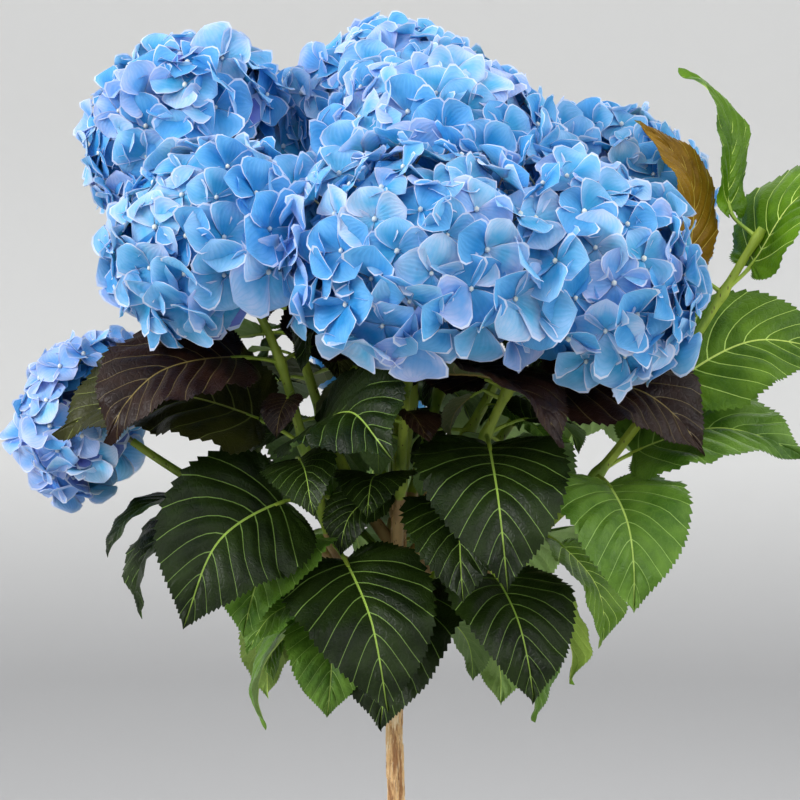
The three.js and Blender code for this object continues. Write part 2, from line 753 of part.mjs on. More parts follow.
const heads = shoots.filter((shoot) => shoot.middle);
const cores = new Map();
for (const shoot of heads) {
  const stalk = stretch(shoot, shoot.stemEnd + shoot.gapShare, 1);
  cores.set(shoot, keep(`flowers_${shoot.name}`, headCore(shoot).add(stalk)));
}

for (const shoot of shoots) {
  const owner = `leaves_${shoot.name}`;
  const grown = leavesWithRoom(owner, shoot).map((one) => keep(owner, one));
  const whole = grown.reduce((joined, one) => joined.add(one), stems.get(shoot));
  plant.add(meshOf(owner, mainPiece(whole), foliage));
}

for (const shoot of heads) {
  const owner = `flowers_${shoot.name}`;
  const grown = florets(owner, shoot, heads).map((one) => keep(owner, one));
  const whole = grown.reduce((joined, one) => joined.add(one), cores.get(shoot));
  plant.add(meshOf(owner, mainPiece(whole), blossom));
}

export default plant;
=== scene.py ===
import math

import bmesh
import bpy
import numpy as np
from mathutils import Matrix, Vector, noise
from mathutils.kdtree import KDTree


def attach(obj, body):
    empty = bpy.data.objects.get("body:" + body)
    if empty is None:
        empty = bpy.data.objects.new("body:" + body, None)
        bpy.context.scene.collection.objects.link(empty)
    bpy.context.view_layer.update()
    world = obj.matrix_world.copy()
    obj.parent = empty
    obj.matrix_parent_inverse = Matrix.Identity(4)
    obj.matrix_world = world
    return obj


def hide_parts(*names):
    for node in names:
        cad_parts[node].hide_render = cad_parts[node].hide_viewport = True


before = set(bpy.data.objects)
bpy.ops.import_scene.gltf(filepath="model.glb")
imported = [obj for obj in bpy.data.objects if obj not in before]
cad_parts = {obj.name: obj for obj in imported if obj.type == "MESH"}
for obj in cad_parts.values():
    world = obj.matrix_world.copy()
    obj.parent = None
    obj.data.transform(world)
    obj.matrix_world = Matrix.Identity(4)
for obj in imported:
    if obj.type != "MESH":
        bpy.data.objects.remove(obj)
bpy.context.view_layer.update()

# ---- Studio ----
# A pale paper sweep that rises all round the plant, under broad soft lights. Its floor is painted a darker
# grey than its wall, as painted shade that fades out over the first half metre up. The camera stands level
# with the middle of the crown and takes in the crown and the top of the trunk.

EYE_DISTANCE = 1.40
EYE_HEIGHT = 0.69
EYE_ASIDE = 0.0006
SEEN_ACROSS = 0.48
SENSOR = 36.0
SWEEP_FLOOR_RADIUS = 4.4
SWEEP_FILLET = 1.6
SWEEP_FILLET_STEPS = 12
SWEEP_HEIGHT = 6.0
SWEEP_STEPS = 96
PAINTED_SHADE_FADES_BY = 0.5
ROOM_STRENGTH = 1.25
SHARP_OVER = 50
WELD = 1e-5
LIGHTS = {  # where each stands, the height that it looks at, its width and its power
    "Window": ((-2.4, -1.3, 1.7), 0.72, 1.3, 64.0),
    "Side": ((2.3, -1.0, 1.8), 0.72, 1.4, 26.0),
    "Front": ((0.2, -2.3, 2.1), 0.78, 1.6, 10.0),
    "Back": ((0.6, 2.1, 2.4), 0.72, 1.5, 14.0),
}


def put(tree, kind, sockets=None, **settings):
    """Adds a node. sockets maps an input's name or number to a value, or to the output that feeds it."""
    made = tree.nodes.new(kind)
    for key, value in settings.items():
        setattr(made, key, value)
    for key, value in (sockets or {}).items():
        if isinstance(value, bpy.types.NodeSocket):
            tree.links.new(value, made.inputs[key])
        else:
            made.inputs[key].default_value = value
    return made


def colour(red, green, blue):
    """An sRGB colour of 0 to 255 as the linear colour that a socket takes."""
    parts = [one / 255 for one in (red, green, blue)]
    return [one / 12.92 if one <= 0.04045 else ((one + 0.055) / 1.055) ** 2.4 for one in parts] + [1.0]


def mixed(tree, factor, first, second):
    """The output of a node that lays the second colour over the first by the factor."""
    return put(tree, "ShaderNodeMix", {0: factor, 6: first, 7: second}, data_type="RGBA").outputs[2]


def place_in(tree):
    """The output that tells a place on the object itself."""
    return put(tree, "ShaderNodeTexCoord").outputs["Object"]


def ranged(tree, value, low, high, start=0.0, end=1.0):
    """The output of a node that turns low to high into start to end."""
    return put(tree, "ShaderNodeMapRange", {0: value, 1: low, 2: high, 3: start, 4: end}).outputs[0]


def finish_named(name, roughness=0.6, specular=0.5):
    """A new material, with its node tree and its shader."""
    made = bpy.data.materials.new(name)
    made.use_nodes = True
    shader = made.node_tree.nodes["Principled BSDF"]
    shader.inputs["Roughness"].default_value = roughness
    shader.inputs["Specular IOR Level"].default_value = specular
    return made, made.node_tree, shader


def thrown(profile, steps, cuts=0):
    """A bmesh turned about the upright axis from a line of (r, z), whose long edges are cut up first."""
    shape = bmesh.new()
    line = [shape.verts.new((r, 0, z)) for r, z in profile]
    edges = [shape.edges.new(two) for two in zip(line, line[1:])]
    if cuts:
        long_ones = [one for one in edges if one.calc_length() > LONG_EDGE]
        bmesh.ops.subdivide_edges(shape, edges=long_ones, cuts=cuts)
    geom = shape.verts[:] + shape.edges[:]
    turn = {"axis": (0, 0, 1), "cent": (0, 0, 0), "angle": math.tau, "steps": steps, "use_merge": True}
    bmesh.ops.spin(shape, geom=geom, **turn)
    bmesh.ops.remove_doubles(shape, verts=shape.verts, dist=WELD)
    bmesh.ops.recalc_face_normals(shape, faces=shape.faces)
    return shape


def mesh_in(name, materials):
    """An empty mesh with its materials."""
    mesh = bpy.data.meshes.new(name)
    for one in materials:
        mesh.materials.append(one)
    return mesh


def standing(name, mesh, sharp=SHARP_OVER):
    """An object at the origin from a mesh, smooth but for its sharp angles."""
    mesh.shade_smooth()
    mesh.set_sharp_from_angle(angle=math.radians(sharp))
    made = bpy.data.objects.new(name, mesh)
    bpy.context.scene.collection.objects.link(made)
    return made


def object_from(name, shape, *materials):
    """Turns a bmesh into an object."""
    mesh = mesh_in(name, materials)
    shape.to_mesh(mesh)
    shape.free()
    return standing(name, mesh)


ROOM_WHITE = colour(242, 243, 244)
# The floor's darker grey is painted shade, which fades into the wall's paler grey with height.
PAPER_FLOOR_PAINTED_SHADE, PAPER_WALL = colour(182, 182, 183), colour(231, 231, 230)

eye = bpy.data.objects.new("Eye", bpy.data.cameras.new("Eye"))
eye.location = (EYE_ASIDE, -EYE_DISTANCE, EYE_HEIGHT)
eye.rotation_euler = (math.pi / 2, 0, 0)
eye.data.sensor_width = SENSOR
eye.data.lens = SENSOR * EYE_DISTANCE / SEEN_ACROSS
eye.data.clip_end = 60
bpy.context.scene.collection.objects.link(eye)
bpy.context.scene.camera = eye
bpy.context.scene.view_settings.view_transform = "Standard"

for name, (stand, aim_height, size, power) in LIGHTS.items():
    lamp = bpy.data.objects.new(name, bpy.data.lights.new(name, "AREA"))
    lamp.data.size = size
    lamp.data.energy = power
    lamp.location = stand
    lamp.rotation_euler = (Vector((0, 0, aim_height)) - lamp.location).to_track_quat("-Z", "Y").to_euler()
    lamp.visible_camera = False
    bpy.context.scene.collection.objects.link(lamp)

world = bpy.data.worlds.new("Room")
world.use_nodes = True
world.node_tree.nodes["Background"].inputs["Color"].default_value = ROOM_WHITE
world.node_tree.nodes["Background"].inputs["Strength"].default_value = ROOM_STRENGTH
bpy.context.scene.world = world

sweep_line = [(0.0, 0.0), (SWEEP_FLOOR_RADIUS, 0.0)]
for step in range(SWEEP_FILLET_STEPS):
    turn = (step + 1) / SWEEP_FILLET_STEPS * math.pi / 2
    across, up = SWEEP_FILLET * math.sin(turn), SWEEP_FILLET * (1 - math.cos(turn))
    sweep_line.append((SWEEP_FLOOR_RADIUS + across, up))
sweep_line.append((SWEEP_FLOOR_RADIUS + SWEEP_FILLET, SWEEP_HEIGHT))
sweep_shape = thrown(sweep_line, SWEEP_STEPS)
bmesh.ops.reverse_faces(sweep_shape, faces=sweep_shape.faces)
paper, tree, shader = finish_named("Paper", roughness=0.9, specular=0.1)
height = put(tree, "ShaderNodeSeparateXYZ", {0: place_in(tree)}).outputs["Z"]
# Painted shade: the floor's grey, faded out by half a metre above the floor.
painted_shade_fading = ranged(tree, height, 0.0, PAINTED_SHADE_FADES_BY)
tree.links.new(mixed(tree, painted_shade_fading, PAPER_FLOOR_PAINTED_SHADE, PAPER_WALL), shader.inputs["Base Color"])
sweep = object_from("sweep", sweep_shape, paper)

# ---- Clay pot ----
# A plain thrown flowerpot of fired red clay: a tapered wall with a thick rolled rim band, a rounded lip,
# a flat foot and three drain holes pushed through the floor. Lime has bloomed on it in patches.

POT_HEIGHT = 0.190
POT_BRIM_RADIUS = 0.108
POT_FOOT_RADIUS = 0.074
POT_WALL = 0.008
RIM_HEIGHT = 0.034
RIM_PROUD = 0.006
LIP_ROUNDING = 0.0025
DRAIN_HOLES = 3
DRAIN_RADIUS = 0.005
DRAIN_CIRCLE = 0.042
POT_STEPS = 144
POT_CUTS = 11
LONG_EDGE = 0.02
THROWING_RINGS = 0.00018
RINGS_PER_METRE = 1500
CLAY_RED = colour(186, 108, 74)
CLAY_PALE = colour(206, 140, 104)
CLAY_DARK = colour(150, 80, 54)
LIME = colour(214, 196, 178)


def wall_radius(z):
    return POT_FOOT_RADIUS + (POT_BRIM_RADIUS - RIM_PROUD - POT_FOOT_RADIUS) * z / POT_HEIGHT


def rounded(points, radius, steps=4):
    """A line through points (r, z) with each inner corner turned on a small arc, as a thumb leaves it."""
    line = [points[0]]
    for before, corner, after in zip(points, points[1:], points[2:]):
        corner = Vector(corner)
        back, on = Vector(before) - corner, Vector(after) - corner
        reach = min(radius, back.length * 0.45, on.length * 0.45)
        start, end = corner + back.normalized() * reach, corner + on.normalized() * reach
        for step in range(steps + 1):
            share = step / steps
            line.append(tuple(start.lerp(corner, share).lerp(corner.lerp(end, share), share)))
    return line + [points[-1]]


rim_foot = POT_HEIGHT - RIM_HEIGHT
pot_profile = rounded(
    [
        (0.0, 0.0),
        (POT_FOOT_RADIUS, 0.0),
        (wall_radius(rim_foot * 0.33), rim_foot * 0.33),
        (wall_radius(rim_foot * 0.66), rim_foot * 0.66),
        (wall_radius(rim_foot), rim_foot),
        (wall_radius(rim_foot) + RIM_PROUD, rim_foot + LIP_ROUNDING),
        (POT_BRIM_RADIUS, POT_HEIGHT),
        (wall_radius(POT_HEIGHT) - POT_WALL, POT_HEIGHT),
        (wall_radius(POT_HEIGHT * 0.5) - POT_WALL, POT_HEIGHT * 0.5),
        (wall_radius(POT_WALL) - POT_WALL, POT_WALL),
        (0.0, POT_WALL),
    ],
    LIP_ROUNDING,
)
pot_shape = thrown(pot_profile, POT_STEPS, POT_CUTS)
for vert in pot_shape.verts:
    radius = math.hypot(vert.co.x, vert.co.y)
    if LIP_ROUNDING < vert.co.z < POT_HEIGHT - 0.001 and radius > wall_radius(vert.co.z) - 0.002:
        ring = math.sin(vert.co.z * RINGS_PER_METRE) + 0.6 * noise.noise(vert.co * 24)
        vert.co.xy *= 1 - THROWING_RINGS * (1 + ring) / radius


def noisy(tree, place, scale, detail, roughness=0.5):
    """The output of a cloudy noise."""
    sockets = {"Vector": place, "Scale": scale, "Detail": detail, "Roughness": roughness}
    return put(tree, "ShaderNodeTexNoise", sockets).outputs[0]


def bumped(tree, height, strength, distance):
    """The normal output of a bump."""
    sockets = {"Height": height, "Strength": strength, "Distance": distance}
    return put(tree, "ShaderNodeBump", sockets).outputs[0]


clay, tree, shader = finish_named("Fired clay", roughness=0.86, specular=0.25)
place = place_in(tree)
cloud = noisy(tree, place, 22.0, 6.0)
grain = noisy(tree, place, 900.0, 3.0)
bloom = ranged(tree, noisy(tree, place, 13.0, 9.0, 0.7), 0.54, 0.72, 0.0, 0.62)
height = put(tree, "ShaderNodeSeparateXYZ", {0: place}).outputs["Z"]
damp = ranged(tree, height, 0.0, 0.075, 0.55, 0.0)
tone = mixed(tree, cloud, CLAY_RED, CLAY_PALE)
tone = mixed(tree, damp, tone, CLAY_DARK)
fleck = ranged(tree, grain, 0.62, 0.72, 0.0, 0.5)
tone = mixed(tree, fleck, tone, CLAY_DARK)
tone = mixed(tree, bloom, tone, LIME)
tree.links.new(tone, shader.inputs["Base Color"])
rough = ranged(tree, cloud, 0.3, 0.7, 0.78, 0.94)
tree.links.new(rough, shader.inputs["Roughness"])
tree.links.new(bumped(tree, grain, 0.35, 0.0006), shader.inputs["Normal"])

pot = object_from("pot_clay", pot_shape, clay)
for hole in range(DRAIN_HOLES):
    drill_shape = bmesh.new()
    turn = hole / DRAIN_HOLES * math.tau
    at = Matrix.Translation((DRAIN_CIRCLE * math.cos(turn), DRAIN_CIRCLE * math.sin(turn), 0))
    sizes = {"radius1": DRAIN_RADIUS * 1.05, "radius2": DRAIN_RADIUS * 0.95, "depth": POT_WALL * 3}
    bmesh.ops.create_cone(drill_shape, cap_ends=True, segments=28, matrix=at, **sizes)
    drill = object_from("drill", drill_shape)
    cut = pot.modifiers.new("hole", "BOOLEAN")
    cut.object = drill
    cut.operation = "DIFFERENCE"
    cut.solver = "EXACT"
    bpy.context.view_layer.objects.active = pot
    bpy.ops.object.modifier_apply(modifier=cut.name)
    bpy.data.objects.remove(drill)
pot.data.set_sharp_from_angle(angle=math.radians(SHARP_OVER))
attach(pot, "root")
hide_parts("pot")

# ---- Compost ----
# Dark potting compost, mounded a little round the trunk, with crumbs, chips of composted bark and a few
# white grains of perlite lying on it.

COMPOST_DROP = 0.020
COMPOST_MOUND = 0.006
COMPOST_EDGE = POT_HEIGHT - COMPOST_DROP
COMPOST_GAP = 0.0004
COMPOST_RADIUS = wall_radius(COMPOST_EDGE) - POT_WALL - COMPOST_GAP
COMPOST_RINGS = 40
COMPOST_STEPS = 120
CRUMBS = 520
CHIPS = 90
PERLITE_GRAINS = 46
LITTER_SEED = 7
LITTER_SHARP_OVER = 35


def many(name, parts, finishes, sharp=SHARP_OVER):
    """One object of many parts, each of points in millimetres, faces of up to four corners with -1 for
    a missing one, the number of each face's finish, and a UV place for each point or None."""
    starts = np.cumsum([0] + [len(part[0]) for part in parts[:-1]])
    points = np.concatenate([part[0] for part in parts])
    faces = [np.where(part[1] >= 0, part[1] + start, -1) for part, start in zip(parts, starts)]
    faces = np.concatenate(faces)
    corners, sizes = faces[faces >= 0], (faces >= 0).sum(axis=1)
    mesh = mesh_in(name, finishes)
    mesh.vertices.add(len(points))
    mesh.vertices.foreach_set("co", (points * 0.001).astype(np.float32).ravel())
    mesh.loops.add(len(corners))
    mesh.loops.foreach_set("vertex_index", corners.astype(np.int32))
    mesh.polygons.add(len(faces))
    loop_starts = np.concatenate([[0], np.cumsum(sizes)[:-1]])
    mesh.polygons.foreach_set("loop_start", loop_starts.astype(np.int32))
    finish_of = np.concatenate([part[2] for part in parts])
    mesh.polygons.foreach_set("material_index", finish_of.astype(np.int32))
    if parts[0][3] is not None:
        marks = np.concatenate([part[3] for part in parts])
        layer = mesh.uv_layers.new(name="Lay")
        layer.data.foreach_set("uv", marks[corners].astype(np.float32).ravel())
    mesh.update(calc_edges=True)
    mesh.validate()
    return standing(name, mesh, sharp)


def ball(cuts):
    """The points and faces of a round ball of radius 1, from an icosphere."""
    shape = bmesh.new()
    bmesh.ops.create_icosphere(shape, subdivisions=cuts, radius=1.0)
    points = np.array([one.co[:] for one in shape.verts])
    faces = np.array([[one.index for one in face.verts] + [-1] for face in shape.faces])
    shape.free()
    return points, faces


def turned(draw):
    """A random turn in space, as a 3 by 3 array."""
    axis = Vector(draw.normal(size=3)).normalized()
    return np.array(Matrix.Rotation(draw.uniform(0, math.tau), 3, axis))


def compost_height(x, y):
    """In metres, at a place on the compost."""
    radius = math.hypot(x, y)
    swell = COMPOST_MOUND * (1 - min(radius / COMPOST_RADIUS, 1)) ** 0.8
    rough = 0.0011 * noise.fractal(Vector((x, y, 0.3)) * 160, 0.6, 2.1, 5)
    return COMPOST_EDGE + swell * 0.9 + min(rough, 0.0012) - 0.0009


floor_radius = wall_radius(POT_WALL) - POT_WALL - COMPOST_GAP
bed_line = [(COMPOST_RADIUS * i / COMPOST_RINGS, COMPOST_EDGE) for i in range(COMPOST_RINGS + 1)]
bed_line += [(floor_radius, POT_WALL + COMPOST_GAP), (0, POT_WALL + COMPOST_GAP)]
bed_shape = thrown(bed_line, COMPOST_STEPS)
for vert in bed_shape.verts:
    if vert.co.z > COMPOST_EDGE - 0.001:
        vert.co.z = compost_height(vert.co.x, vert.co.y)

peat, tree, shader = finish_named("Peat and bark", roughness=0.95, specular=0.15)
place = place_in(tree)
clods = noisy(tree, place, 120.0, 8.0, 0.75)
fibres = put(tree, "ShaderNodeTexVoronoi", {"Vector": place, "Scale": 520.0}).outputs["Distance"]
tone = mixed(tree, clods, colour(30, 21, 15), colour(84, 61, 43))
tone = mixed(tree, ranged(tree, fibres, 0.05, 0.5, 0.55, 0.0), tone, colour(24, 17, 12))
tree.links.new(tone, shader.inputs["Base Color"])
tree.links.new(bumped(tree, clods, 0.8, 0.002), shader.inputs["Normal"])



def speckled(name, dark, light, scale, detail, roughness, specular):
    """A finish that wanders between two colours."""
    made, tree, shader = finish_named(name, roughness, specular)
    cloud = noisy(tree, place_in(tree), scale, detail)
    tree.links.new(mixed(tree, cloud, colour(*dark), colour(*light)), shader.inputs["Base Color"])
    return made


chip = speckled("Bark chip", (70, 45, 29), (142, 100, 68), 260.0, 5.0, 0.85, 0.2)
perlite = speckled("Perlite", (206, 202, 194), (244, 243, 238), 1500.0, 3.0, 0.8, 0.3)
bed = object_from("compost_bed", bed_shape, peat)
draw = np.random.default_rng(LITTER_SEED)
ball_points, ball_faces = ball(2)
litter = []
for i in range(CRUMBS + CHIPS + PERLITE_GRAINS):
    radius = math.sqrt(draw.uniform(0.02, 0.93)) * COMPOST_RADIUS
    turn = draw.uniform(0, math.tau)
    x, y = radius * math.cos(turn), radius * math.sin(turn)
    if i < CRUMBS:
        size, finish, sink = draw.uniform(0.7, 2.4, size=3), 0, 0.25
    elif i < CRUMBS + CHIPS:
        size = np.array([draw.uniform(3, 7), draw.uniform(1.6, 3), draw.uniform(0.5, 1.0)])
        finish, sink = 1, 0.1
    else:
        size, finish, sink = draw.uniform(0.9, 1.7, size=3), 2, 0.2
    lumpy = ball_points * (1 + 0.22 * draw.uniform(-1, 1, size=(len(ball_points), 1))) * size
    spin = np.array(Matrix.Rotation(draw.uniform(0, math.tau), 3, "Z")) if finish == 1 else turned(draw)
    if finish == 1:
        spin = spin @ np.array(Matrix.Rotation(draw.uniform(-0.35, 0.35), 3, "X"))
    at = np.array([x, y, compost_height(x, y)]) * 1000 + [0, 0, size[2] * (1 - 2 * sink) * 0.5]
    litter.append((lumpy @ spin.T + at, ball_faces, np.full(len(ball_faces), finish), None))
crumbs = many("compost_litter", litter, [peat, chip, perlite], LITTER_SHARP_OVER)
for one in (bed, crumbs):
    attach(one, "root")
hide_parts("compost")
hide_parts("compost")

# ---- Trunk ----
# One bare woody stem, 11 mm thick, wandering a little from plumb. It flares at the compost and swells to a
# knuckle where the shoots leave. Its tan bark splits lengthwise and lifts in thin brown-edged plates, and its
# cracks are painted darker, partly as painted shade. The plant's own sizes, from here on, are in millimetres.

TRUNK_FOOT = 176.3
TRUNK_TOP = 640
TRUNK_FLARE_RADIUS = 11
TRUNK_RADIUS = 5.4
TRUNK_FLARE_FALL = 22
KNUCKLE_RADIUS = 7.5
KNUCKLE_FROM, KNUCKLE_FULL = 0.72, 0.8
TOP_NARROWS_FROM = 0.82
TOP_NARROWING = 0.45
TRUNK_SWAY = 3
TRUNK_AROUND, TRUNK_ALONG = 72, 520
BARK_PLATE = 0.34
BARK_CRACK = 0.42
BARK_RUN = 464.0
KNOT_DEPTH = 0.7
ROOT_DEPTH = 1.3
BARK_TAN = colour(224, 184, 132)
BARK_PALE = colour(242, 224, 190)
BARK_BROWN = colour(148, 102, 64)
BARK_DARK = colour(70, 44, 28)


def direction(azimuth, pitch):
    """A unit vector: azimuth 0 is +X and 90 is +Y, and pitch is above the horizon."""
    a, p = math.radians(azimuth), math.radians(pitch)
    return np.array([math.cos(a) * math.cos(p), math.sin(a) * math.cos(p), math.sin(p)])


def azimuth_of(point):
    """Which way a point lies from the plant's upright axis, in degrees."""
    return math.degrees(math.atan2(point[1], point[0]))


def mix(start, end, share):
    return start + (end - start) * share


def smooth(value, low, high):
    share = np.clip((value - low) / (high - low), 0, 1)
    return share * share * (3 - 2 * share)


def unit(vectors):
    return vectors / np.linalg.norm(vectors, axis=-1, keepdims=True)


class Line:
    """A smooth line through space, and places on it by share of its length."""

    def __init__(self, points):
        self.points = np.array(points, float)
        steps = np.linalg.norm(np.diff(self.points, axis=0), axis=1)
        self.run = np.concatenate([[0], np.cumsum(steps)])
        self.length = self.run[-1]
        self.run = self.run / self.length

    def at(self, share):
        return np.stack([np.interp(share, self.run, self.points[:, i]) for i in range(3)], axis=-1)

    def along(self, share):
        low, high = np.clip(np.asarray(share) - 0.004, 0, 1), np.clip(np.asarray(share) + 0.004, 0, 1)
        return unit(self.at(high) - self.at(low))


def through(points, steps=40):
    """A centripetal Catmull-Rom line through points."""
    points = [np.array(one, float) for one in points]
    ends = [2 * points[0] - points[1], *points, 2 * points[-1] - points[-2]]
    made = []
    for p0, p1, p2, p3 in zip(ends, ends[1:], ends[2:], ends[3:]):
        d0, d1, d2 = [math.sqrt(np.linalg.norm(b - a)) for a, b in ((p0, p1), (p1, p2), (p2, p3))]
        leave = ((p1 - p0) / d0 - (p2 - p0) / (d0 + d1) + (p2 - p1) / d1) * d1
        arrive = ((p2 - p1) / d1 - (p3 - p1) / (d1 + d2) + (p3 - p2) / d2) * d1
        for step in range(steps):
            t = step / steps
            rise, fall = -3 * p1 + 3 * p2 - 2 * leave - arrive, 2 * p1 - 2 * p2 + leave + arrive
            made.append(p1 + leave * t + rise * t * t + fall * t**3)
    return Line([*made, points[-1]])


trunk_line = through(
    [
        (0, 0, TRUNK_FOOT),
        (0, 0, TRUNK_FOOT + 20),
        (TRUNK_SWAY, -TRUNK_SWAY / 2, mix(TRUNK_FOOT, TRUNK_TOP, 0.35)),
        (-TRUNK_SWAY, TRUNK_SWAY / 2, mix(TRUNK_FOOT, TRUNK_TOP, 0.7)),
        (0, 0, TRUNK_TOP),
    ]
)


def trunk_radius(share):
    flare = (TRUNK_FLARE_RADIUS - TRUNK_RADIUS) * np.exp(-share * TRUNK_FLARE_FALL)
    knuckle = (KNUCKLE_RADIUS - TRUNK_RADIUS) * smooth(share, KNUCKLE_FROM, KNUCKLE_FULL)
    return (TRUNK_RADIUS + flare + knuckle) * (1 - TOP_NARROWING * smooth(share, TOP_NARROWS_FROM, 1))


def bark_relief(place):
    """How far the bark stands out at a place on a stem, told as if it ran straight up."""
    stretched = Vector((place[0] * 0.42, place[1] * 0.42, place[2] * 0.075))
    wander = Vector([noise.noise(stretched * 1.7 + Vector((shift, 0, 0))) for shift in (0, 31.7, 64.3)])
    near, _ = noise.voronoi(stretched + 0.35 * wander)
    plate = noise.cell(stretched * 1.3 + Vector((3.1, 7.7, 0)))
    split = noise.noise(Vector((place[0] * 0.75, place[1] * 0.75, place[2] * 0.06 + 4)))
    crack = max(0.0, 1 - (near[1] - near[0]) * 7) + 0.8 * max(0.0, 1 - abs(split) * 9)
    return BARK_PLATE * (plate - 0.4) + 0.16 * noise.noise(Vector(place) * 1.1) - BARK_CRACK * min(crack, 1)


trunk_shape = bmesh.new()
bmesh.ops.create_grid(trunk_shape, x_segments=TRUNK_AROUND, y_segments=TRUNK_ALONG, size=1.0)
for vert in trunk_shape.verts:
    turn, share = (vert.co.x + 1) * math.pi, (vert.co.y + 1) / 2
    outward = np.array([math.cos(turn), math.sin(turn), 0.0])
    radius = float(trunk_radius(share))
    relief = bark_relief((outward[0] * radius, outward[1] * radius, share * BARK_RUN))
    knobbly = noise.noise(Vector((outward[0] * 2, outward[1] * 2, share * 42)))
    knots = KNOT_DEPTH * float(smooth(share, 0.7, 0.78)) * knobbly
    roots = ROOT_DEPTH * math.exp(-share * 30) * math.cos(turn * 4 + 1.1)
    vert.co = Vector(trunk_line.at(share) + outward * (radius + relief + knots + roots)) * 0.001
bmesh.ops.remove_doubles(trunk_shape, verts=trunk_shape.verts, dist=1e-7)
bmesh.ops.holes_fill(trunk_shape, edges=[one for one in trunk_shape.edges if one.is_boundary], sides=0)
bmesh.ops.recalc_face_normals(trunk_shape, faces=trunk_shape.faces)

bark, tree, shader = finish_named("Peeling bark", roughness=0.82, specular=0.25)
place = place_in(tree)
drawn = put(tree, "ShaderNodeMapping", {"Vector": place, "Scale": (1.0, 1.0, 0.16)}).outputs[0]
patch = noisy(tree, drawn, 210.0, 7.0, 0.66)
strip = noisy(tree, drawn, 720.0, 4.0)
brown = ranged(tree, patch, 0.50, 0.60, 0.0, 0.9)
pale = ranged(tree, strip, 0.52, 0.66, 0.0, 0.8)
tone = mixed(tree, brown, mixed(tree, pale, BARK_TAN, BARK_PALE), BARK_BROWN)
# Darker in the cracks and hollows of the bark, by how concave it is: partly the dark bark under the lifted
# plates, partly painted shade.
hollow = put(tree, "ShaderNodeNewGeometry").outputs["Pointiness"]
deep = ranged(tree, hollow, 0.40, 0.49, 0.85, 0.0)
tree.links.new(mixed(tree, deep, tone, BARK_DARK), shader.inputs["Base Color"])
tree.links.new(bumped(tree, strip, 0.5, 0.0007), shader.inputs["Normal"])

trunk = object_from("trunk_bark", trunk_shape, bark)
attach(trunk, "root")
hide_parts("trunk")

# ---- Shoots ----
# Green shoots that leave the knuckle and bend up into the flower heads, with leaf pairs at swollen nodes.
# They are ribbed and dotted with small corky pores, woody at their feet and yellow-green above. What each
# carries, and the rules that place it, are the plant's own habit: pairs a quarter turn apart.

SHOOT_RADII = (3.8, 2.3)
SIDE_SPRAY_RADII = (2.6, 1.5)
SHOOT_LEAVING, SHOOT_ARRIVING = 0.4, 0.35
STALK_SHARE = 0.55
HEAD_LEAN_PER_MM = 0.3
HEAD_NECK = 0.5
LEAF_BELOW_END = 0.02
NODE_SPACING = 50
NODE_SWELLING = 0.42
NODE_LENGTH = 5.0
COLLAR_SWELLING, COLLAR_LENGTH = 0.35, 7.0
RIBS, RIB_HEIGHT = 5, 0.16
WOODY_SHARE, WOODY_BELOW = 0.34, 634
STEM_AROUND = 12
STEM_STEP = 2.6
LOW_SPRAYS, LOW_SPRAY_SEED = 5, 97
LOW_SPRAY_TURN, LOW_SPRAY_FOOT, LOW_SPRAY_REACH = 50, 538, 58
PORE_BROWN = colour(74, 44, 30)


def chance(seed):
    """A seeded run of numbers from 0 to 1, by the minimal standard generator."""
    state = seed
    while True:
        state = state * 16807 % 2147483647
        yield state / 2147483647


def leaf_pair(height, azimuth, pitch, length, roll=0, tone="deep", partner=None):
    """Two leaves on opposite sides of a stem. The second is like the first but for what partner says."""
    first = {"height": height, "azimuth": azimuth, "pitch": pitch, "length": length}
    first |= {"roll": roll, "tone": tone}
    return [first, {**first, "azimuth": azimuth + 180, "roll": -roll, **(partner or {})}]


def crossed_pairs(lowest, highest, outward, seed, tones):
    """Pairs a quarter turn apart up a stem that leans out at an azimuth."""
    draws = chance(seed)
    count = int((highest - lowest) / NODE_SPACING + 0.5) + 1
    found = []
    for i in range(count):
        height = mix(lowest, highest, i / (count - 1) if count > 1 else 0)
        pitch = mix(-40, -14, i / count) + mix(-6, 6, next(draws))
        length = mix(92, 108, next(draws))
        middle = outward + mix(-12, 12, next(draws))
        tone = tones[i % len(tones)]
        if i % 2 == 1:
            found += leaf_pair(height, middle, pitch, length, 0, tone, {"length": length * 0.6})
        else:
            found += leaf_pair(height, middle + 72, pitch, length, 0, tone, {"azimuth": middle - 72})
    return found


def leafy(name, end, foot, lift, arrival, radii, leaves):
    """A shoot that ends in leaves."""
    shoot = {"name": name, "end": np.array(end, float), "foot": foot, "lift": lift}
    return {**shoot, "arrival": arrival, "radii": radii, "leaves": leaves}


def flowering(name, middle, radius, foot, lift, leaves):
    """A shoot that ends in a flower head, and arrives in it along the head's axis."""
    middle = np.array(middle, float)
    axis = direction(azimuth_of(middle), 90 - math.hypot(middle[0], middle[1]) * HEAD_LEAN_PER_MM)
    end = middle - axis * radius * HEAD_NECK
    shoot = leafy(name, end, foot, lift, axis, SHOOT_RADII, leaves)
    return {**shoot, "middle": middle, "radius": radius, "axis": axis}


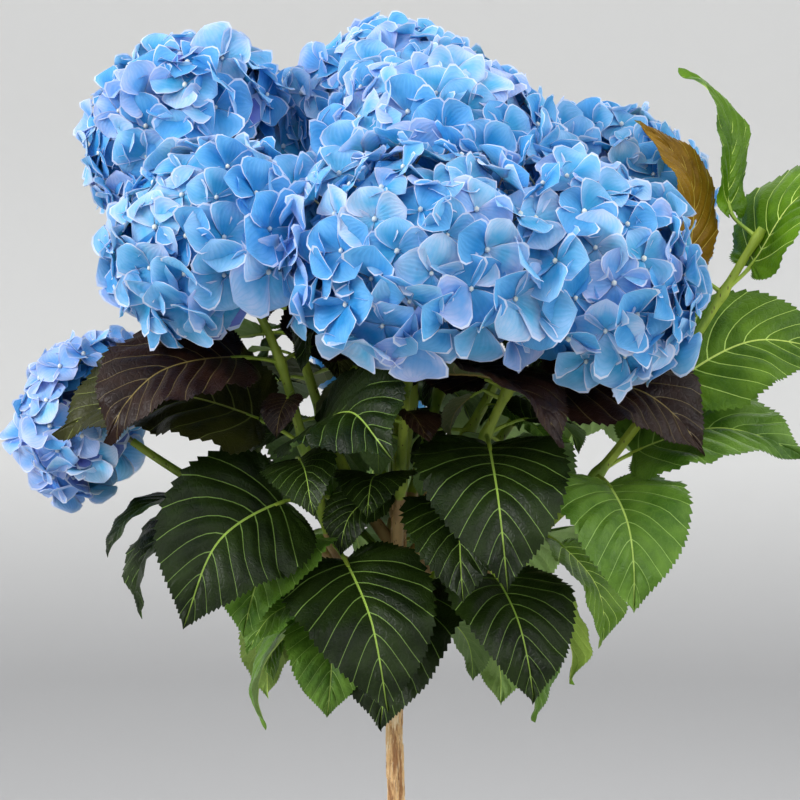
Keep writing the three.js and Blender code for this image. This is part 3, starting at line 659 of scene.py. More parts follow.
def low_sprays():
    """Short side shoots low on the knuckle, whose leaves hang round the trunk's top."""
    draws = chance(LOW_SPRAY_SEED)
    found = []
    for i in range(LOW_SPRAYS):
        azimuth = 14 + i * LOW_SPRAY_TURN
        foot = LOW_SPRAY_FOOT + (i % 2) * 9
        end = direction(azimuth, 0) * LOW_SPRAY_REACH * mix(0.8, 1.1, next(draws))
        end[2] = foot + mix(30, 44, next(draws))
        pitch, length = mix(-68, -56, next(draws)), mix(70, 84, next(draws))
        partner = {"azimuth": azimuth + 48, "length": mix(62, 78, next(draws))}
        tone = ("mid", "fresh", "deep", "fresh", "mid")[i]
        leaves = leaf_pair(end[2] - 5, azimuth - 42, pitch, length, 0, tone, partner)
        found.append(leafy(f"low_{i + 1}", end, foot, 12, direction(azimuth, 42), SIDE_SPRAY_RADII, leaves))
    return found


def other(azimuth, pitch, length, **more):
    """What the second leaf of a pair has of its own."""
    return {"azimuth": azimuth, "pitch": pitch, "length": length, **more}


# Each leaf's tone is dealt by where it hangs: dark tones as painted shade under the heads, bright ones as
# painted light on the lit right.
left_front = [
    *leaf_pair(606, -70, -55, 104, 12, "deep", other(150, -58, 62, roll=0, tone="fresh")),
    *leaf_pair(634, 222, -40, 106, -52, "deep", {"tone": "mid"}),
    *leaf_pair(664, -38, -8, 102, 42, "deep", other(186, -4, 126, roll=-34, tone="dusky")),
    *leaf_pair(712, 205, -27, 102, -30, "maroon", {"pitch": -10}),
]
right_front = [
    *leaf_pair(590, -112, -64, 92, 0, "deep", {"length": 84}),
    *leaf_pair(670, -88, -48, 106, 0, "deep"),
    *leaf_pair(704, -20, -22, 106, 38, "maroon", {"azimuth": 168, "pitch": -4, "roll": -34}),
]
centre_front = [
    *leaf_pair(640, 190, -50, 80, -30, "deep", {"azimuth": 20, "tone": "maroon"}),
    *leaf_pair(704, -64, -24, 96, 0, "maroon", {"azimuth": 200}),
]
low_right = leaf_pair(594, -74, -50, 90, 0, "deep", other(12, -58, 80, tone="bright"))
right_leafy = [
    *leaf_pair(612, 95, -40, 90, 0, "mid", other(-50, -60, 70, tone="fresh")),
    *leaf_pair(646, -8, -2, 104, 34, "mid", other(-78, -46, 98, roll=0)),
    *leaf_pair(684, -6, 10, 104, 48, "fresh", other(110, -20, 104, roll=0, tone="mid")),
    *leaf_pair(752, -12, 38, 96, 30, "bright", other(178, 72, 98, roll=-40, slim=0.5, tone="ochre")),
    *leaf_pair(786, -30, 58, 60, 0, "bright", other(146, 72, 100, slim=0.45)),
]
lower_left = [*leaf_pair(606, 100, -35, 88, 0, "mid"), *leaf_pair(630, 200, -28, 70, 0, "deep")]
front_shoots = [
    flowering("left_front", (-106, -70, 780), 68, 548, 40, left_front),
    flowering("right_front", (103, -78, 762), 76, 556, 55, right_front),
    flowering("centre_front", (8, -110, 770), 75, 572, 72, centre_front),
    leafy("low_right", (54, -30, 600), 540, 22, direction(-30, 55), SIDE_SPRAY_RADII, low_right),
    leafy("right_leafy", (212, -40, 790), 560, 22, direction(-10, 58), SHOOT_RADII, right_leafy),
    *low_sprays(),
]
OTHER_HEADS = (  # name, middle, radius, foot, lift, where its leaves start, end and face, seed, tones
    ("upper_centre", (24, -20, 835), 75, 628, 80, (690, 760, -120), 11, ["maroon", "deep"]),
    ("left_back", (-132, 40, 854), 71, 600, 48, (680, 780, 165), 23, ["deep", "mid", "maroon"]),
    ("top_back", (-2, 75, 874), 67, 632, 76, (710, 810, 92), 31, ["deep", "mid", "maroon"]),
    ("right_back", (134, 40, 812), 68, 612, 46, (670, 760, 16), 47, ["mid", "deep", "fresh"]),
    ("lower_left", (-184, 10, 681), 56, 578, 26, lower_left),
    ("back_left", (-76, 120, 822), 68, 620, 50, (670, 750, 122), 59, ["deep", "dusky", "mid"]),
    ("back_right", (62, 142, 805), 68, 606, 48, (650, 740, 66), 67, ["mid", "deep", "dusky"]),
    ("low_right_back", (128, 112, 742), 57, 586, 40, (620, 690, 41), 71, ["deep", "mid"]),
    ("low_back", (-6, 176, 735), 56, 566, 40, (610, 680, 92), 83, ["mid", "deep"]),
)
SHOOTS = [*front_shoots]
for name, middle, radius, foot, lift, given, *rest in OTHER_HEADS:
    leaves = crossed_pairs(*given, *rest) if rest else given
    SHOOTS.append(flowering(name, middle, radius, foot, lift, leaves))


def share_at_height(line, height):
    """How far along a rising line a height is reached."""
    low, high = 0.0, 1.0
    for _ in range(20):
        middle = (low + high) / 2
        low, high = (middle, high) if line.at(middle)[2] < height else (low, middle)
    return low


def bent(steps, *points):
    """A line from the first of the points to the last, drawn towards the ones between."""
    t = np.linspace(0, 1, steps)[:, None]
    while len(points) > 1:
        points = [mix(one, following, t) for one, following in zip(points, points[1:])]
    return Line(points[0])


for shoot in SHOOTS:
    start = trunk_line.at((shoot["foot"] - TRUNK_FOOT) / (TRUNK_TOP - TRUNK_FOOT))
    span = np.linalg.norm(shoot["end"] - start)
    near = start + direction(azimuth_of(shoot["end"]), shoot["lift"]) * span * SHOOT_LEAVING
    far = shoot["end"] - shoot["arrival"] * span * SHOOT_ARRIVING
    shoot["line"] = bent(201, start, near, far, shoot["end"])
    shoot["stem_end"] = 1 - shoot.get("radius", 0) * STALK_SHARE / shoot["line"].length
    for leaf in shoot["leaves"]:
        share = min(share_at_height(shoot["line"], leaf["height"]), shoot["stem_end"] - LEAF_BELOW_END)
        leaf["share"], leaf["foot"] = share, shoot["line"].at(share)


def tube(line, radius_at, around, step, end=1.0, facing=(0.31, 0.95, 0.05), relief=None, flat=1.0):
    """A closed tube along a line, as points and faces. relief stands out of it, by share and turn."""
    steps = max(2, round(line.length * end / step))
    shares = np.linspace(0, end, steps + 1)
    centres, along = line.at(shares), line.along(shares)
    side = unit(np.cross(along, np.array(facing)))
    face = np.cross(side, along)
    turns = np.arange(around) / around * math.tau
    radii = np.broadcast_to(np.asarray(radius_at(shares), float), shares.shape)[:, None] * np.ones(around)
    if relief is not None:
        radii = radii + relief(shares[:, None], turns[None, :])
    across = radii * np.cos(turns)
    thick = radii * np.sin(turns) * flat
    points = centres[:, None] + side[:, None] * across[..., None] + face[:, None] * thick[..., None]
    points = np.concatenate([points.reshape(-1, 3), centres[:1], centres[-1:]])
    ring, turn = np.meshgrid(np.arange(steps), np.arange(around), indexing="ij")
    a, b = ring * around + turn, ring * around + (turn + 1) % around
    walls = np.stack([a, a + around, b + around, b], axis=-1).reshape(-1, 4)
    i, last = np.arange(around), steps * around
    j, none, foot = (i + 1) % around, np.full(around, -1), np.full(around, len(points) - 2)
    caps = [np.stack([i, j, foot, none], 1), np.stack([j + last, i + last, foot + 1, none], 1)]
    return points, np.concatenate([walls, *caps])


def surface_group(name, **inputs):
    """A node group for a skin, which puts out its colour, roughness and normal."""
    group = bpy.data.node_groups.new(name, "ShaderNodeTree")
    for socket, kind in inputs.items():
        group.interface.new_socket(socket, in_out="INPUT", socket_type=f"NodeSocket{kind}")
    for socket, kind in (("Colour", "Color"), ("Roughness", "Float"), ("Normal", "Vector")):
        group.interface.new_socket(socket, in_out="OUTPUT", socket_type=f"NodeSocket{kind}")
    given, out = put(group, "NodeGroupInput").outputs, put(group, "NodeGroupOutput").inputs
    return group, given, out, place_in(group)


def reckoned(tree, operation, *values, **settings):
    """The output of a sum on numbers."""
    return put(tree, "ShaderNodeMath", dict(enumerate(values)), operation=operation, **settings).outputs[0]


def skin_group():
    """Green stem skin: ribs along it, a darker flush in patches, and small corky pores."""
    group, given, out, place = surface_group("Stem skin", Light="Color", Dark="Color", Pores="Float")
    drawn = put(group, "ShaderNodeMapping", {"Vector": place, "Scale": (1.0, 1.0, 0.3)}).outputs[0]
    flush = noisy(group, drawn, 90.0, 4.0)
    rib = noisy(group, drawn, 700.0, 2.0)
    dots = put(group, "ShaderNodeTexVoronoi", {"Vector": drawn, "Scale": 420.0}).outputs["Distance"]
    pore = ranged(group, dots, 0.10, 0.2, 1.0, 0.0)
    pore = reckoned(group, "MULTIPLY", pore, given["Pores"])
    spread = ranged(group, flush, 0.38, 0.66)
    tone = mixed(group, spread, given["Light"], given["Dark"])
    group.links.new(mixed(group, pore, tone, PORE_BROWN), out["Colour"])
    group.links.new(ranged(group, flush, 0.0, 1.0, 0.4, 0.6), out["Roughness"])
    group.links.new(bumped(group, rib, 0.3, 0.0005), out["Normal"])
    return group


def dressed(name, group, specular=0.4, **values):
    """A material whose colour, roughness and normal come from a group with these values."""
    made, tree, shader = finish_named(name, specular=specular)
    box = tree.nodes.new("ShaderNodeGroup")
    box.node_tree = group
    for key, value in values.items():
        box.inputs[key].default_value = value
    for one, other in (("Colour", "Base Color"), ("Roughness", "Roughness"), ("Normal", "Normal")):
        tree.links.new(box.outputs[one], shader.inputs[other])
    return made


stem_skin = skin_group()


def skinned(name, light, dark, pores):
    """A stem finish of two colours with more or fewer pores."""
    return dressed(name, stem_skin, Light=colour(*light), Dark=colour(*dark), Pores=pores)


def of_one_finish(points, faces):
    """A part for many() whose faces all take the first finish."""
    return points, faces, np.zeros(len(faces), int), None


green_shoot = skinned("Green shoot", (166, 186, 66), (112, 142, 44), 0.85)
woody_shoot = skinned("Woody shoot", (190, 158, 104), (122, 92, 56), 0.7)
petiole_green = skinned("Leaf stalk", (170, 194, 74), (128, 160, 52), 0.25)


def thickness(shares):
    """Tapering, with a collar at the foot and a swelling where leaves stand."""
    swell = sum(np.exp(-(((shares - one) * line.length / NODE_LENGTH) ** 2)) for one in nodes_at)
    collar = COLLAR_SWELLING * np.exp(-shares * line.length / COLLAR_LENGTH)
    return mix(*shoot["radii"], shares) * (1 + NODE_SWELLING * np.minimum(swell, 1) + collar)


def ribs(shares, turns):
    return RIB_HEIGHT * np.cos(turns * RIBS + shares * 3)


stems = []
for shoot in SHOOTS:
    line = shoot["line"]
    nodes_at = sorted({round(leaf["share"], 4) for leaf in shoot["leaves"]})
    points, faces = tube(line, thickness, STEM_AROUND, STEM_STEP, relief=ribs)
    middles = points[np.where(faces[:, 3:] >= 0, faces, faces[:, :1])].mean(axis=1)
    woody = np.linalg.norm(middles - line.at(0.0), axis=1) < WOODY_SHARE * line.length
    woody &= middles[:, 2] < WOODY_BELOW
    stems.append((points, faces, woody.astype(int), None))
shoots_piece = many("shoots", stems, [green_shoot, woody_shoot])
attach(shoots_piece, "root")
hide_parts(*[f"bough_{shoot['name']}" for shoot in SHOOTS])

# ---- Leaves ----
# Broad, thick, saw-edged blades on grooved stalks, folded up a little along the midrib and arched down to a
# drawn-out point. Side veins leave the midrib in pairs and curve forward along the edge, pressed into a
# puckered surface. Older leaves in the crown's shade are near black-green and young ones yellow-green, partly
# by their own colour and partly as painted shade and painted light: the dark tones go to leaves under the
# heads, the bright ones to leaves lit on the right.

PETIOLE_SHARE = 0.24
JOINT_AT = PETIOLE_SHARE / (1 + PETIOLE_SHARE)
STALK_END = JOINT_AT + 0.05
PETIOLE_RISE = 45
BLADE_ARCH = 34
BLADE_FOLD = 0.2
BLADE_WIDTH_SHARE = 0.8
LEAF_TURNS = (0, 14, -14, 28, -28)
LEAF_SIZES = (1, 0.8, 0.62)
TIP_FOUND_WITHIN = 0.9
OUTLINE_ACROSS = (0, 0.36, 0.70, 0.92, 1.0, 0.97, 0.86, 0.68, 0.45, 0.24, 0.10, 0)
OUTLINE_ALONG = (0, -0.045, -0.005, 0.11, 0.25, 0.39, 0.54, 0.68, 0.80, 0.885, 0.945, 1)
LATERAL_STARTS = (0.035, 0.12, 0.215, 0.325, 0.445, 0.575, 0.71, 0.84)
LATERAL_ENDS = (0.46, 0.53, 0.60, 0.675, 0.75, 0.825, 0.895, 0.95)
LATERAL_SWEEP = 1.32
VEIN_AT_MIDRIB, VEIN_AT_EDGE = 0.0040, 0.0012
MIDRIB_SHARE = 0.019
BLADE_THICKNESS, MIDRIB_DEPTH, VEIN_DEPTH = 0.0042, 0.010, 0.0022
PUCKER = 0.021
TOOTH_OUT, TOOTH_ON = 0.48, 0.30
TOOTH_ACROSS, TOOTH_ALONG = 2.4, 0.4
LEAF_SEED = 31
# The dark tones (deep, maroon, dusky) carry painted shade and the bright ones (fresh, bright) painted light,
# on top of the leaves' own greens.
LEAF_TONES = {  # upper side dark and light, side veins, midrib, underside
    "deep": [(12, 24, 3), (32, 48, 10), (104, 132, 60), (148, 178, 74), (84, 112, 54)],
    "maroon": [(24, 12, 11), (46, 27, 18), (98, 84, 50), (122, 106, 56), (74, 84, 48)],
    "dusky": [(28, 30, 8), (56, 58, 20), (104, 112, 54), (150, 162, 76), (86, 102, 52)],
    "mid": [(56, 92, 22), (102, 138, 50), (136, 168, 82), (172, 198, 96), (128, 158, 86)],
    "fresh": [(56, 92, 12), (98, 134, 34), (176, 204, 100), (196, 216, 108), (142, 172, 84)],
    "bright": [(58, 96, 6), (102, 142, 26), (200, 222, 116), (212, 228, 124), (154, 184, 80)],
    "ochre": [(104, 76, 8), (148, 112, 24), (196, 170, 78), (200, 176, 84), (150, 138, 70)],
}


def cut_alike(faces, kinds):
    """Cuts quads (a, b, c, d) into triangles along a to c, so that a thin sheet's two sides are cut alike."""
    quads = faces[:, 3] >= 0
    halves = np.concatenate([faces[quads][:, :3], faces[quads][:, [0, 2, 3]], faces[~quads][:, :3]])
    return halves, np.concatenate([kinds[quads], kinds[quads], kinds[~quads]])


def blade_plan(rows_first, rows_between, inner_columns):
    """A blade of length and half width 1, whose rows of faces follow its veins: points (across, along, puff,
    the share of the way to the edge, whether on a side vein), faces, and what each face is: 0 upper side,
    1 side vein, 2 midrib, 3 underside."""
    outline = through([(x, s, 0) for x, s in zip(OUTLINE_ACROSS, OUTLINE_ALONG)])
    rows, start, end = [(0.0, 0.0, 0, 0.0, False)], 0.0, 0.0
    for i, (leaves_at, ends_at) in enumerate([*zip(LATERAL_STARTS, LATERAL_ENDS), (1.0, 1.0)]):
        is_tip = i == len(LATERAL_STARTS)
        near = leaves_at - (0 if is_tip else VEIN_AT_MIDRIB)
        near_end = ends_at - (0 if is_tip else VEIN_AT_EDGE)
        inner = rows_first if i == 0 else rows_between
        for j in range(1, inner + 1):
            f = j / (inner + 1)
            rows.append((mix(start, near, f), mix(end, near_end, f), i, f, False))
        rows.append((near, near_end, i, 1.0, not is_tip))
        if not is_tip:
            start, end = leaves_at + VEIN_AT_MIDRIB, ends_at + VEIN_AT_EDGE
            rows.append((start, end, i + 1, 0.0, False))
    columns = [0.0, *np.linspace(0, 1, inner_columns + 1) ** 0.92]
    middle = len(columns) - 1
    points, numbers = [], np.zeros((len(rows), 2 * middle + 1), int)
    for r, (leaves_at, ends_at, gap, f, _) in enumerate(rows):
        edge_x, edge_s, _ = outline.at(ends_at)
        rib = min(MIDRIB_SHARE * (1 - 0.6 * leaves_at), edge_x * 0.5)
        for c in range(-middle, middle + 1):
            if r in (0, len(rows) - 1) and c > -middle:
                numbers[r, c + middle] = numbers[r, 0]
                continue
            t = columns[abs(c)]
            x = 0.0 if c == 0 else (rib + (edge_x - rib) * t)
            s = leaves_at + (edge_s - leaves_at) * t**LATERAL_SWEEP
            if gap == 0:
                across = float(smooth(t, 0.2, 0.6)) * float(1 - smooth(t, 0.85, 1))
                puff = 0.5 * abs(math.sin(4 * math.pi * f)) * across
            else:
                puff = math.sin(math.pi * f) * (4 * t * (1 - t)) ** 0.5
            numbers[r, c + middle] = len(points)
            on_vein = 1.0 if f in (0.0, 1.0) and gap + f > 0.5 else 0.0
            points.append((math.copysign(x, c), s, puff, t, on_vein))
    faces, kinds = [], []
    for r in range(len(rows) - 1):
        for c in range(2 * middle):
            corners = [numbers[r, c], numbers[r, c + 1], numbers[r + 1, c + 1], numbers[r + 1, c]]
            corners = list(dict.fromkeys(corners))
            faces.append(corners + [-1] * (4 - len(corners)))
            kinds.append(2 if c in (middle - 1, middle) else 1 if rows[r][4] else 0)
    loops = []
    for side in (1, -1):
        loop, column = [], middle + side * middle
        for r in range(len(rows) - 1):
            here, on = numbers[r, column], numbers[r + 1, column]
            loop.append(here)
            if rows[r][4] or r < 2 or r > len(rows) - 4:
                continue
            a, b = np.array(points[here][:2]), np.array(points[on][:2])
            forward = b - a
            outward = np.array([forward[1] * TOOTH_ACROSS, -forward[0] * TOOTH_ALONG]) * side
            tooth = (a + b) / 2 + TOOTH_ON * forward + TOOTH_OUT * outward
            loop.append(len(points))
            faces.append([here, len(points), on][::side] + [-1])
            kinds.append(0)
            points.append((*tooth, 0.0, 1.0, 0.0))
        loops.append(loop)
    tip = numbers[-1, 0]
    edge = [*loops[0], tip, *reversed(loops[1][1:])]
    points, edge = np.array(points), np.array(edge)
    faces, kinds = cut_alike(np.array(faces), np.array(kinds))
    under = faces[:, ::-1] + len(points)
    on = np.roll(edge, -1)
    rim = np.stack([edge, edge + len(points), on + len(points), on], axis=1)
    sheets = np.pad(np.concatenate([faces, under]), ((0, 0), (0, 1)), constant_values=-1)
    faces = np.concatenate([sheets, rim])
    return points, faces, np.concatenate([kinds, np.where(kinds == 0, 3, kinds), np.zeros(len(rim), int)])


def tree_of(points):
    """A tree that finds the nearest of these points."""
    tree = KDTree(len(points))
    for i, point in enumerate(points):
        tree.insert(point, i)
    tree.balance()
    return tree


def leaf_line(leaf):
    """The points that the stalk and midrib run through, from the leaf's foot on the stem."""
    azimuth, pitch, length = leaf["azimuth"], leaf["pitch"], leaf["length"]
    joint = leaf["foot"] + direction(azimuth, min(pitch + BLADE_ARCH, PETIOLE_RISE)) * length * PETIOLE_SHARE
    middle = joint + direction(azimuth, pitch + BLADE_ARCH / 2) * length * 0.5
    tip = middle + direction(azimuth, pitch - BLADE_ARCH / 2) * length * 0.5
    return [leaf["foot"], joint, middle, tip]


def blade(leaf, plan, draw):
    """A leaf's blade on its line, a little wavy, uneven and twisted, in millimetres."""
    points, faces, kinds = plan
    line = through(leaf_line(leaf))
    length, half = leaf["length"], leaf["length"] * BLADE_WIDTH_SHARE * leaf.get("slim", 1) / 2
    facing = Vector(direction(leaf["azimuth"], leaf["pitch"] + 90))
    own_line = Vector(direction(leaf["azimuth"], leaf["pitch"]))
    facing = np.array(Matrix.Rotation(math.radians(leaf.get("roll", 0)), 3, own_line) @ facing)
    x, s, puff, t, on_vein = points.T
    uneven = 1 + draw.uniform(-0.06, 0.06) * np.sign(x)
    sway = length * draw.uniform(-0.07, 0.07) * np.clip(s, 0, 1) ** 2
    shares = JOINT_AT + (1 - JOINT_AT) * np.clip(s, 0, 1)
    along = line.along(shares)
    side = unit(np.cross(along, facing))
    face = np.cross(side, along)
    waves = draw.uniform(0, math.tau, size=4)
    reach = np.abs(x)
    lift = BLADE_FOLD * draw.uniform(0.7, 1.4) * reach * half * (1.12 - 0.34 * reach)
    lift += length * draw.uniform(0.012, 0.028) * t**2 * np.sin(s * 13 + waves[0] + np.sign(x) * waves[1])
    lift += length * draw.uniform(0.006, 0.018) * t**3 * np.sin(s * 29 + waves[2] + np.sign(x) * waves[3])
    lift += length * PUCKER * draw.uniform(0.8, 1.25) * puff
    lift -= length * draw.uniform(0.02, 0.08) * smooth(s, 0.7, 1.0) ** 2
    behind = np.minimum(s, 0)[:, None] * length
    middle = line.at(shares) + along * behind + side * (x * half * uneven + sway)[:, None]
    over = middle + face * lift[:, None]
    midrib, vein = MIDRIB_DEPTH * (1 - 0.8 * s) * (reach < 0.004), VEIN_DEPTH * on_vein * (1 - t)
    thick = length * (BLADE_THICKNESS * (1 - 0.4 * t) + midrib + vein)
    under = middle + face * (lift - thick)[:, None]
    marks = np.stack([x * half, s * length], axis=1) * 0.1 + draw.uniform(0, 40, size=2)
    return np.concatenate([over, under]), faces, kinds, np.concatenate([marks, marks])


def blade_group():
    """A blade's surface: cloudy tone between two greens, and a net of fine veins in the blade's own lay."""
    inputs = {"Dark": "Color", "Light": "Color", "Net": "Float", "Gloss": "Float"}
    group, given, out, place = surface_group("Blade surface", **inputs)
    lay = put(group, "ShaderNodeUVMap", uv_map="Lay").outputs[0]
    cloud = noisy(group, place, 46.0, 5.0)
    spread = ranged(group, cloud, 0.32, 0.68)
    net = put(group, "ShaderNodeTexVoronoi", {"Vector": lay, "Scale": 3.1}, feature="DISTANCE_TO_EDGE")
    net = net.outputs[0]
    cells = ranged(group, net, 0.0, 0.16)
    line = ranged(group, net, 0.0, 0.05, 1.0, 0.0)
    line = reckoned(group, "MULTIPLY", line, given["Net"])
    tone = mixed(group, spread, given["Dark"], given["Light"])
    group.links.new(mixed(group, line, tone, given["Light"]), out["Colour"])
    fine = noisy(group, lay, 14.0, 3.0)
    rough = ranged(group, fine, 0.0, 1.0, -0.08, 0.10)
    group.links.new(reckoned(group, "ADD", given["Gloss"], rough), out["Roughness"])
    height = reckoned(group, "ADD", cells, fine)
    group.links.new(bumped(group, height, 0.28, 0.0006), out["Normal"])
    return group


blade_surface = blade_group()


def leaf_finish(name, dark, light, net, gloss, specular=0.4):
    """A blade finish of two colours, with its fine veins more or less plain."""
    values = {"Dark": colour(*dark), "Light": colour(*light), "Net": net, "Gloss": gloss}
    return dressed(name, blade_surface, specular=specular, **values)


leaf_finishes = {}
for tone, (dark, light, vein, rib, under) in LEAF_TONES.items():
    leaf_finishes[tone] = [
        leaf_finish(f"Leaf {tone}", dark, light, net=0.3, gloss=0.40, specular=0.19),
        leaf_finish(f"Side vein {tone}", vein, [one * 1.1 for one in vein], net=0.0, gloss=0.5),
        leaf_finish(f"Midrib {tone}", rib, [min(one * 1.08, 240) for one in rib], net=0.0, gloss=0.5),
        leaf_finish(f"Underside {tone}", under, [one * 1.12 for one in under], net=0.5, gloss=0.62),
    ]

full_plan = blade_plan(rows_first=17, rows_between=2, inner_columns=7)
small_plan = blade_plan(rows_first=11, rows_between=1, inner_columns=3)
draw = np.random.default_rng(LEAF_SEED)
blades = {tone: [] for tone in LEAF_TONES}
blade_nodes = {tone: set() for tone in LEAF_TONES}
stalks, blade_points = [], []


def stalk_radius(shares):
    """Thick where it clasps the shoot, and again at the blade."""
    clasp, knee = shares * line.length / 3, (shares - JOINT_AT) * line.length / 4
    return 1.35 + np.exp(-clasp) + 0.3 * np.exp(-(knee**2))


for shoot in SHOOTS:
    node = f"leaves_{shoot['name']}"
    corners = tree_of([vert.co * 1000 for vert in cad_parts[node].data.vertices])
    for leaf in shoot["leaves"]:
        for size, turn in [(size, turn) for size in LEAF_SIZES for turn in LEAF_TURNS]:
            tried = {**leaf, "azimuth": leaf["azimuth"] + turn, "length": leaf["length"] * size}
            if corners.find(Vector(leaf_line(tried)[-1]))[2] < TIP_FOUND_WITHIN:
                break
        else:
            continue
        part = blade(tried, full_plan, draw)
        blades[leaf["tone"]].append(part)
        blade_nodes[leaf["tone"]].add(node)
        blade_points.append(part[0][: len(full_plan[0])])
        line = through(leaf_line(tried))
        points, faces = tube(line, stalk_radius, 8, 2.8, STALK_END, facing=(0.02, 0.03, 1), flat=0.86)
        points[:, 2] -= 0.5 * smooth(np.linalg.norm(points - leaf["foot"], axis=1), 8, 24)
        stalks.append(of_one_finish(points, faces))

for tone, parts in blades.items():
    piece = many(f"leaves_{tone}", parts, leaf_finishes[tone])
    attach(piece, "root")
    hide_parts(*sorted(blade_nodes[tone]))
stalks_piece = many("leaf_stalks", stalks, [petiole_green])
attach(stalks_piece, "root")

# ---- Flower heads ----
# Round mopheads of sterile florets. A green stalk forks inside each head into branches, and every floret
# stands on its own thin stalk: four broad overlapping sepals round a bead of a bud. Big florets face out
# all over the head, lowest ones largest, and smaller ones fill the shade between them.

HEAD_FLATNESS = 0.86
HEAD_SPREAD = 122
FULL_HEAD_RADIUS = 70
GOLDEN_ANGLE = 137.508
FLORET_RADIUS = 22.0
YOUNG_HEADS = {  # the size of their florets as a share of the others'
    "lower_left": 0.74, "left_back": 0.88, "top_back": 0.86, "right_back": 0.86, "upper_centre": 0.92,
}
OUTER = {"count": 60, "reach": 0.90, "sizes": (0.80, 1.14), "hidden": 0.84, "first": 0.0}
INNER = {"count": 40, "reach": 0.74, "sizes": (0.84, 1.0), "hidden": 0.94, "first": 0.4}
SEPAL_PLACES = (0, 0.10, 0.26, 0.44, 0.6, 0.74, 0.86, 0.94, 1)
SEPAL_HALF_WIDTHS = (0.05, 0.20, 0.42, 0.58, 0.625, 0.55, 0.37, 0.18, 0)
SEPAL_VEINS = 62.0
# The lower-left head, which stands in the leaves' shade, is dealt mostly periwinkle and pale sepals: partly
# its own lilac colour, partly painted light.
LOW_HEAD_PAINTED_LIGHT = 0.7
VALLEY_SWELL = 0.13
VALLEY_WIDTH = 0.22
SEPAL_THICKNESS = 0.34
BUD_RADIUS = 1.55
BRANCHES = 9
BRANCH_REACH = 0.46
ROOM_TO_LEAF = 3.4
FACING_SPREAD = 0.27
PETALS_SHARP_OVER = 62
HEAD_SEED = 53
# The pale colour, towards a sepal's edge and point, is partly painted highlight.
PETAL_TONES = {  # main, pale towards the edge
    "sky": [(50, 154, 214), (146, 198, 251)],
    "azure": [(34, 134, 206), (104, 176, 241)],
    "periwinkle": [(90, 160, 236), (182, 202, 254)],
    "pale": [(84, 176, 232), (190, 214, 254)],
    "shade": [(32, 126, 202), (68, 156, 226)],
    "violet": [(92, 100, 192), (112, 140, 216)],
    # rim is a painted highlight, laid on the sepals' edge faces where the edges catch the light.
    "rim": [(186, 214, 250), (216, 228, 253)],
}
SKY, AZURE, PERIWINKLE, PALE, SHADE, VIOLET, RIM_HIGHLIGHT = range(7)


def sepal_plan(rows, columns):
    """A sepal of length 1: points (along, across as a share of the half width, which side), faces, and which
    faces are its rim. Its two sides meet along the edge."""
    over, under, points = {}, {}, []
    for r, a in enumerate(rows):
        for c, x in enumerate(columns):
            if a == 1 and c > 0:
                over[r, c], under[r, c] = over[r, 0], under[r, 0]
                continue
            over[r, c] = under[r, c] = len(points)
            points.append((a, x, 0.0, np.interp(a, SEPAL_PLACES, SEPAL_HALF_WIDTHS)))
            if a < 1 and abs(x) < 1 and r > 0:
                under[r, c] = len(points)
                points.append((a, x, 1.0, points[-1][3]))
    faces, kinds = [], []
    for r in range(len(rows) - 1):
        for c in range(len(columns) - 1):
            edge = c in (0, len(columns) - 2)
            for side in (over, under):
                corners = [side[r, c], side[r + 1, c], side[r + 1, c + 1], side[r, c + 1]]
                corners = list(dict.fromkeys(corners))
                halves = [corners[:3]] + ([[corners[0], *corners[2:]]] if len(corners) == 4 else [])
                for half in halves:
                    faces.append([*(half if side is over else half[::-1]), -1])
                    kinds.append(int(edge))
    return np.array(points), np.array(faces), np.array(kinds)


def square_to(axis, hint=(0.2, 0.9, 0.35)):
    """Two unit vectors at right angles to an axis and to each other."""
    right = unit(np.cross(axis, hint))
    return right, np.cross(axis, right)


def floret(centre, normal, size, plan, tones, draw):
    """Four cupped sepals round a centre, each a little different, with alternate ones lying above."""
    points, faces, kinds = plan
    a, x, below, width = points.T
    right, ahead = square_to(normal)
    turn = draw.uniform(0, math.tau)
    made, marks = [], []
    cup, curl = draw.uniform(0.10, 0.40), draw.uniform(0.0, 0.2)
    opening = draw.uniform(4, 32)
    for k in range(4):
        length = size * draw.uniform(0.92, 1.07) * (1.04 if k % 2 else 0.97)
        pitch = math.tan(math.radians(opening + draw.uniform(-11, 11)))
        twist = math.tan(math.radians(draw.uniform(4, 16)))
        wave = draw.uniform(0, math.tau, size=2)
        along = a * length
        across = x * width * length * draw.uniform(0.94, 1.1)
        height = along * pitch * (1 - 0.5 * a) - curl * draw.uniform(0.5, 1.4) * length * a**3
        height += cup * length * x * x * width + across * twist * (1 if draw.random() < 0.9 else -1)
        height += 0.05 * length * np.sin(a * 11 + wave[0] + np.sign(x) * wave[1]) * np.abs(x) ** 3
        height += 0.018 * length * np.cos(x * 7 + wave[1]) * np.sin(math.pi * a)
        height += (0.5 if k % 2 else -0.2) * a
        height -= below * SEPAL_THICKNESS * (1 - 0.5 * np.abs(x))
        angle = turn + k * math.pi / 2 + math.radians(draw.uniform(-6, 6))
        out = right * math.cos(angle) + ahead * math.sin(angle)
        aside = np.cross(normal, out)
        made.append(centre + along[:, None] * out + across[:, None] * aside + height[:, None] * normal)
        marks.append(np.stack([x * 0.5 + 0.5, a], axis=1))
    count = len(points)
    faces = np.concatenate([np.where(faces >= 0, faces + k * count, -1) for k in range(4)])
    # The sepals' edge faces take the painted highlight tone, but the shaded inner florets take a plain azure
    # there.
    rim_highlights = [AZURE if tone == SHADE else RIM_HIGHLIGHT for tone in tones]
    finish_of = np.concatenate([np.where(kinds == 1, rim, tone) for rim, tone in zip(rim_highlights, tones)])
    return np.concatenate(made), faces, finish_of, np.concatenate(marks)


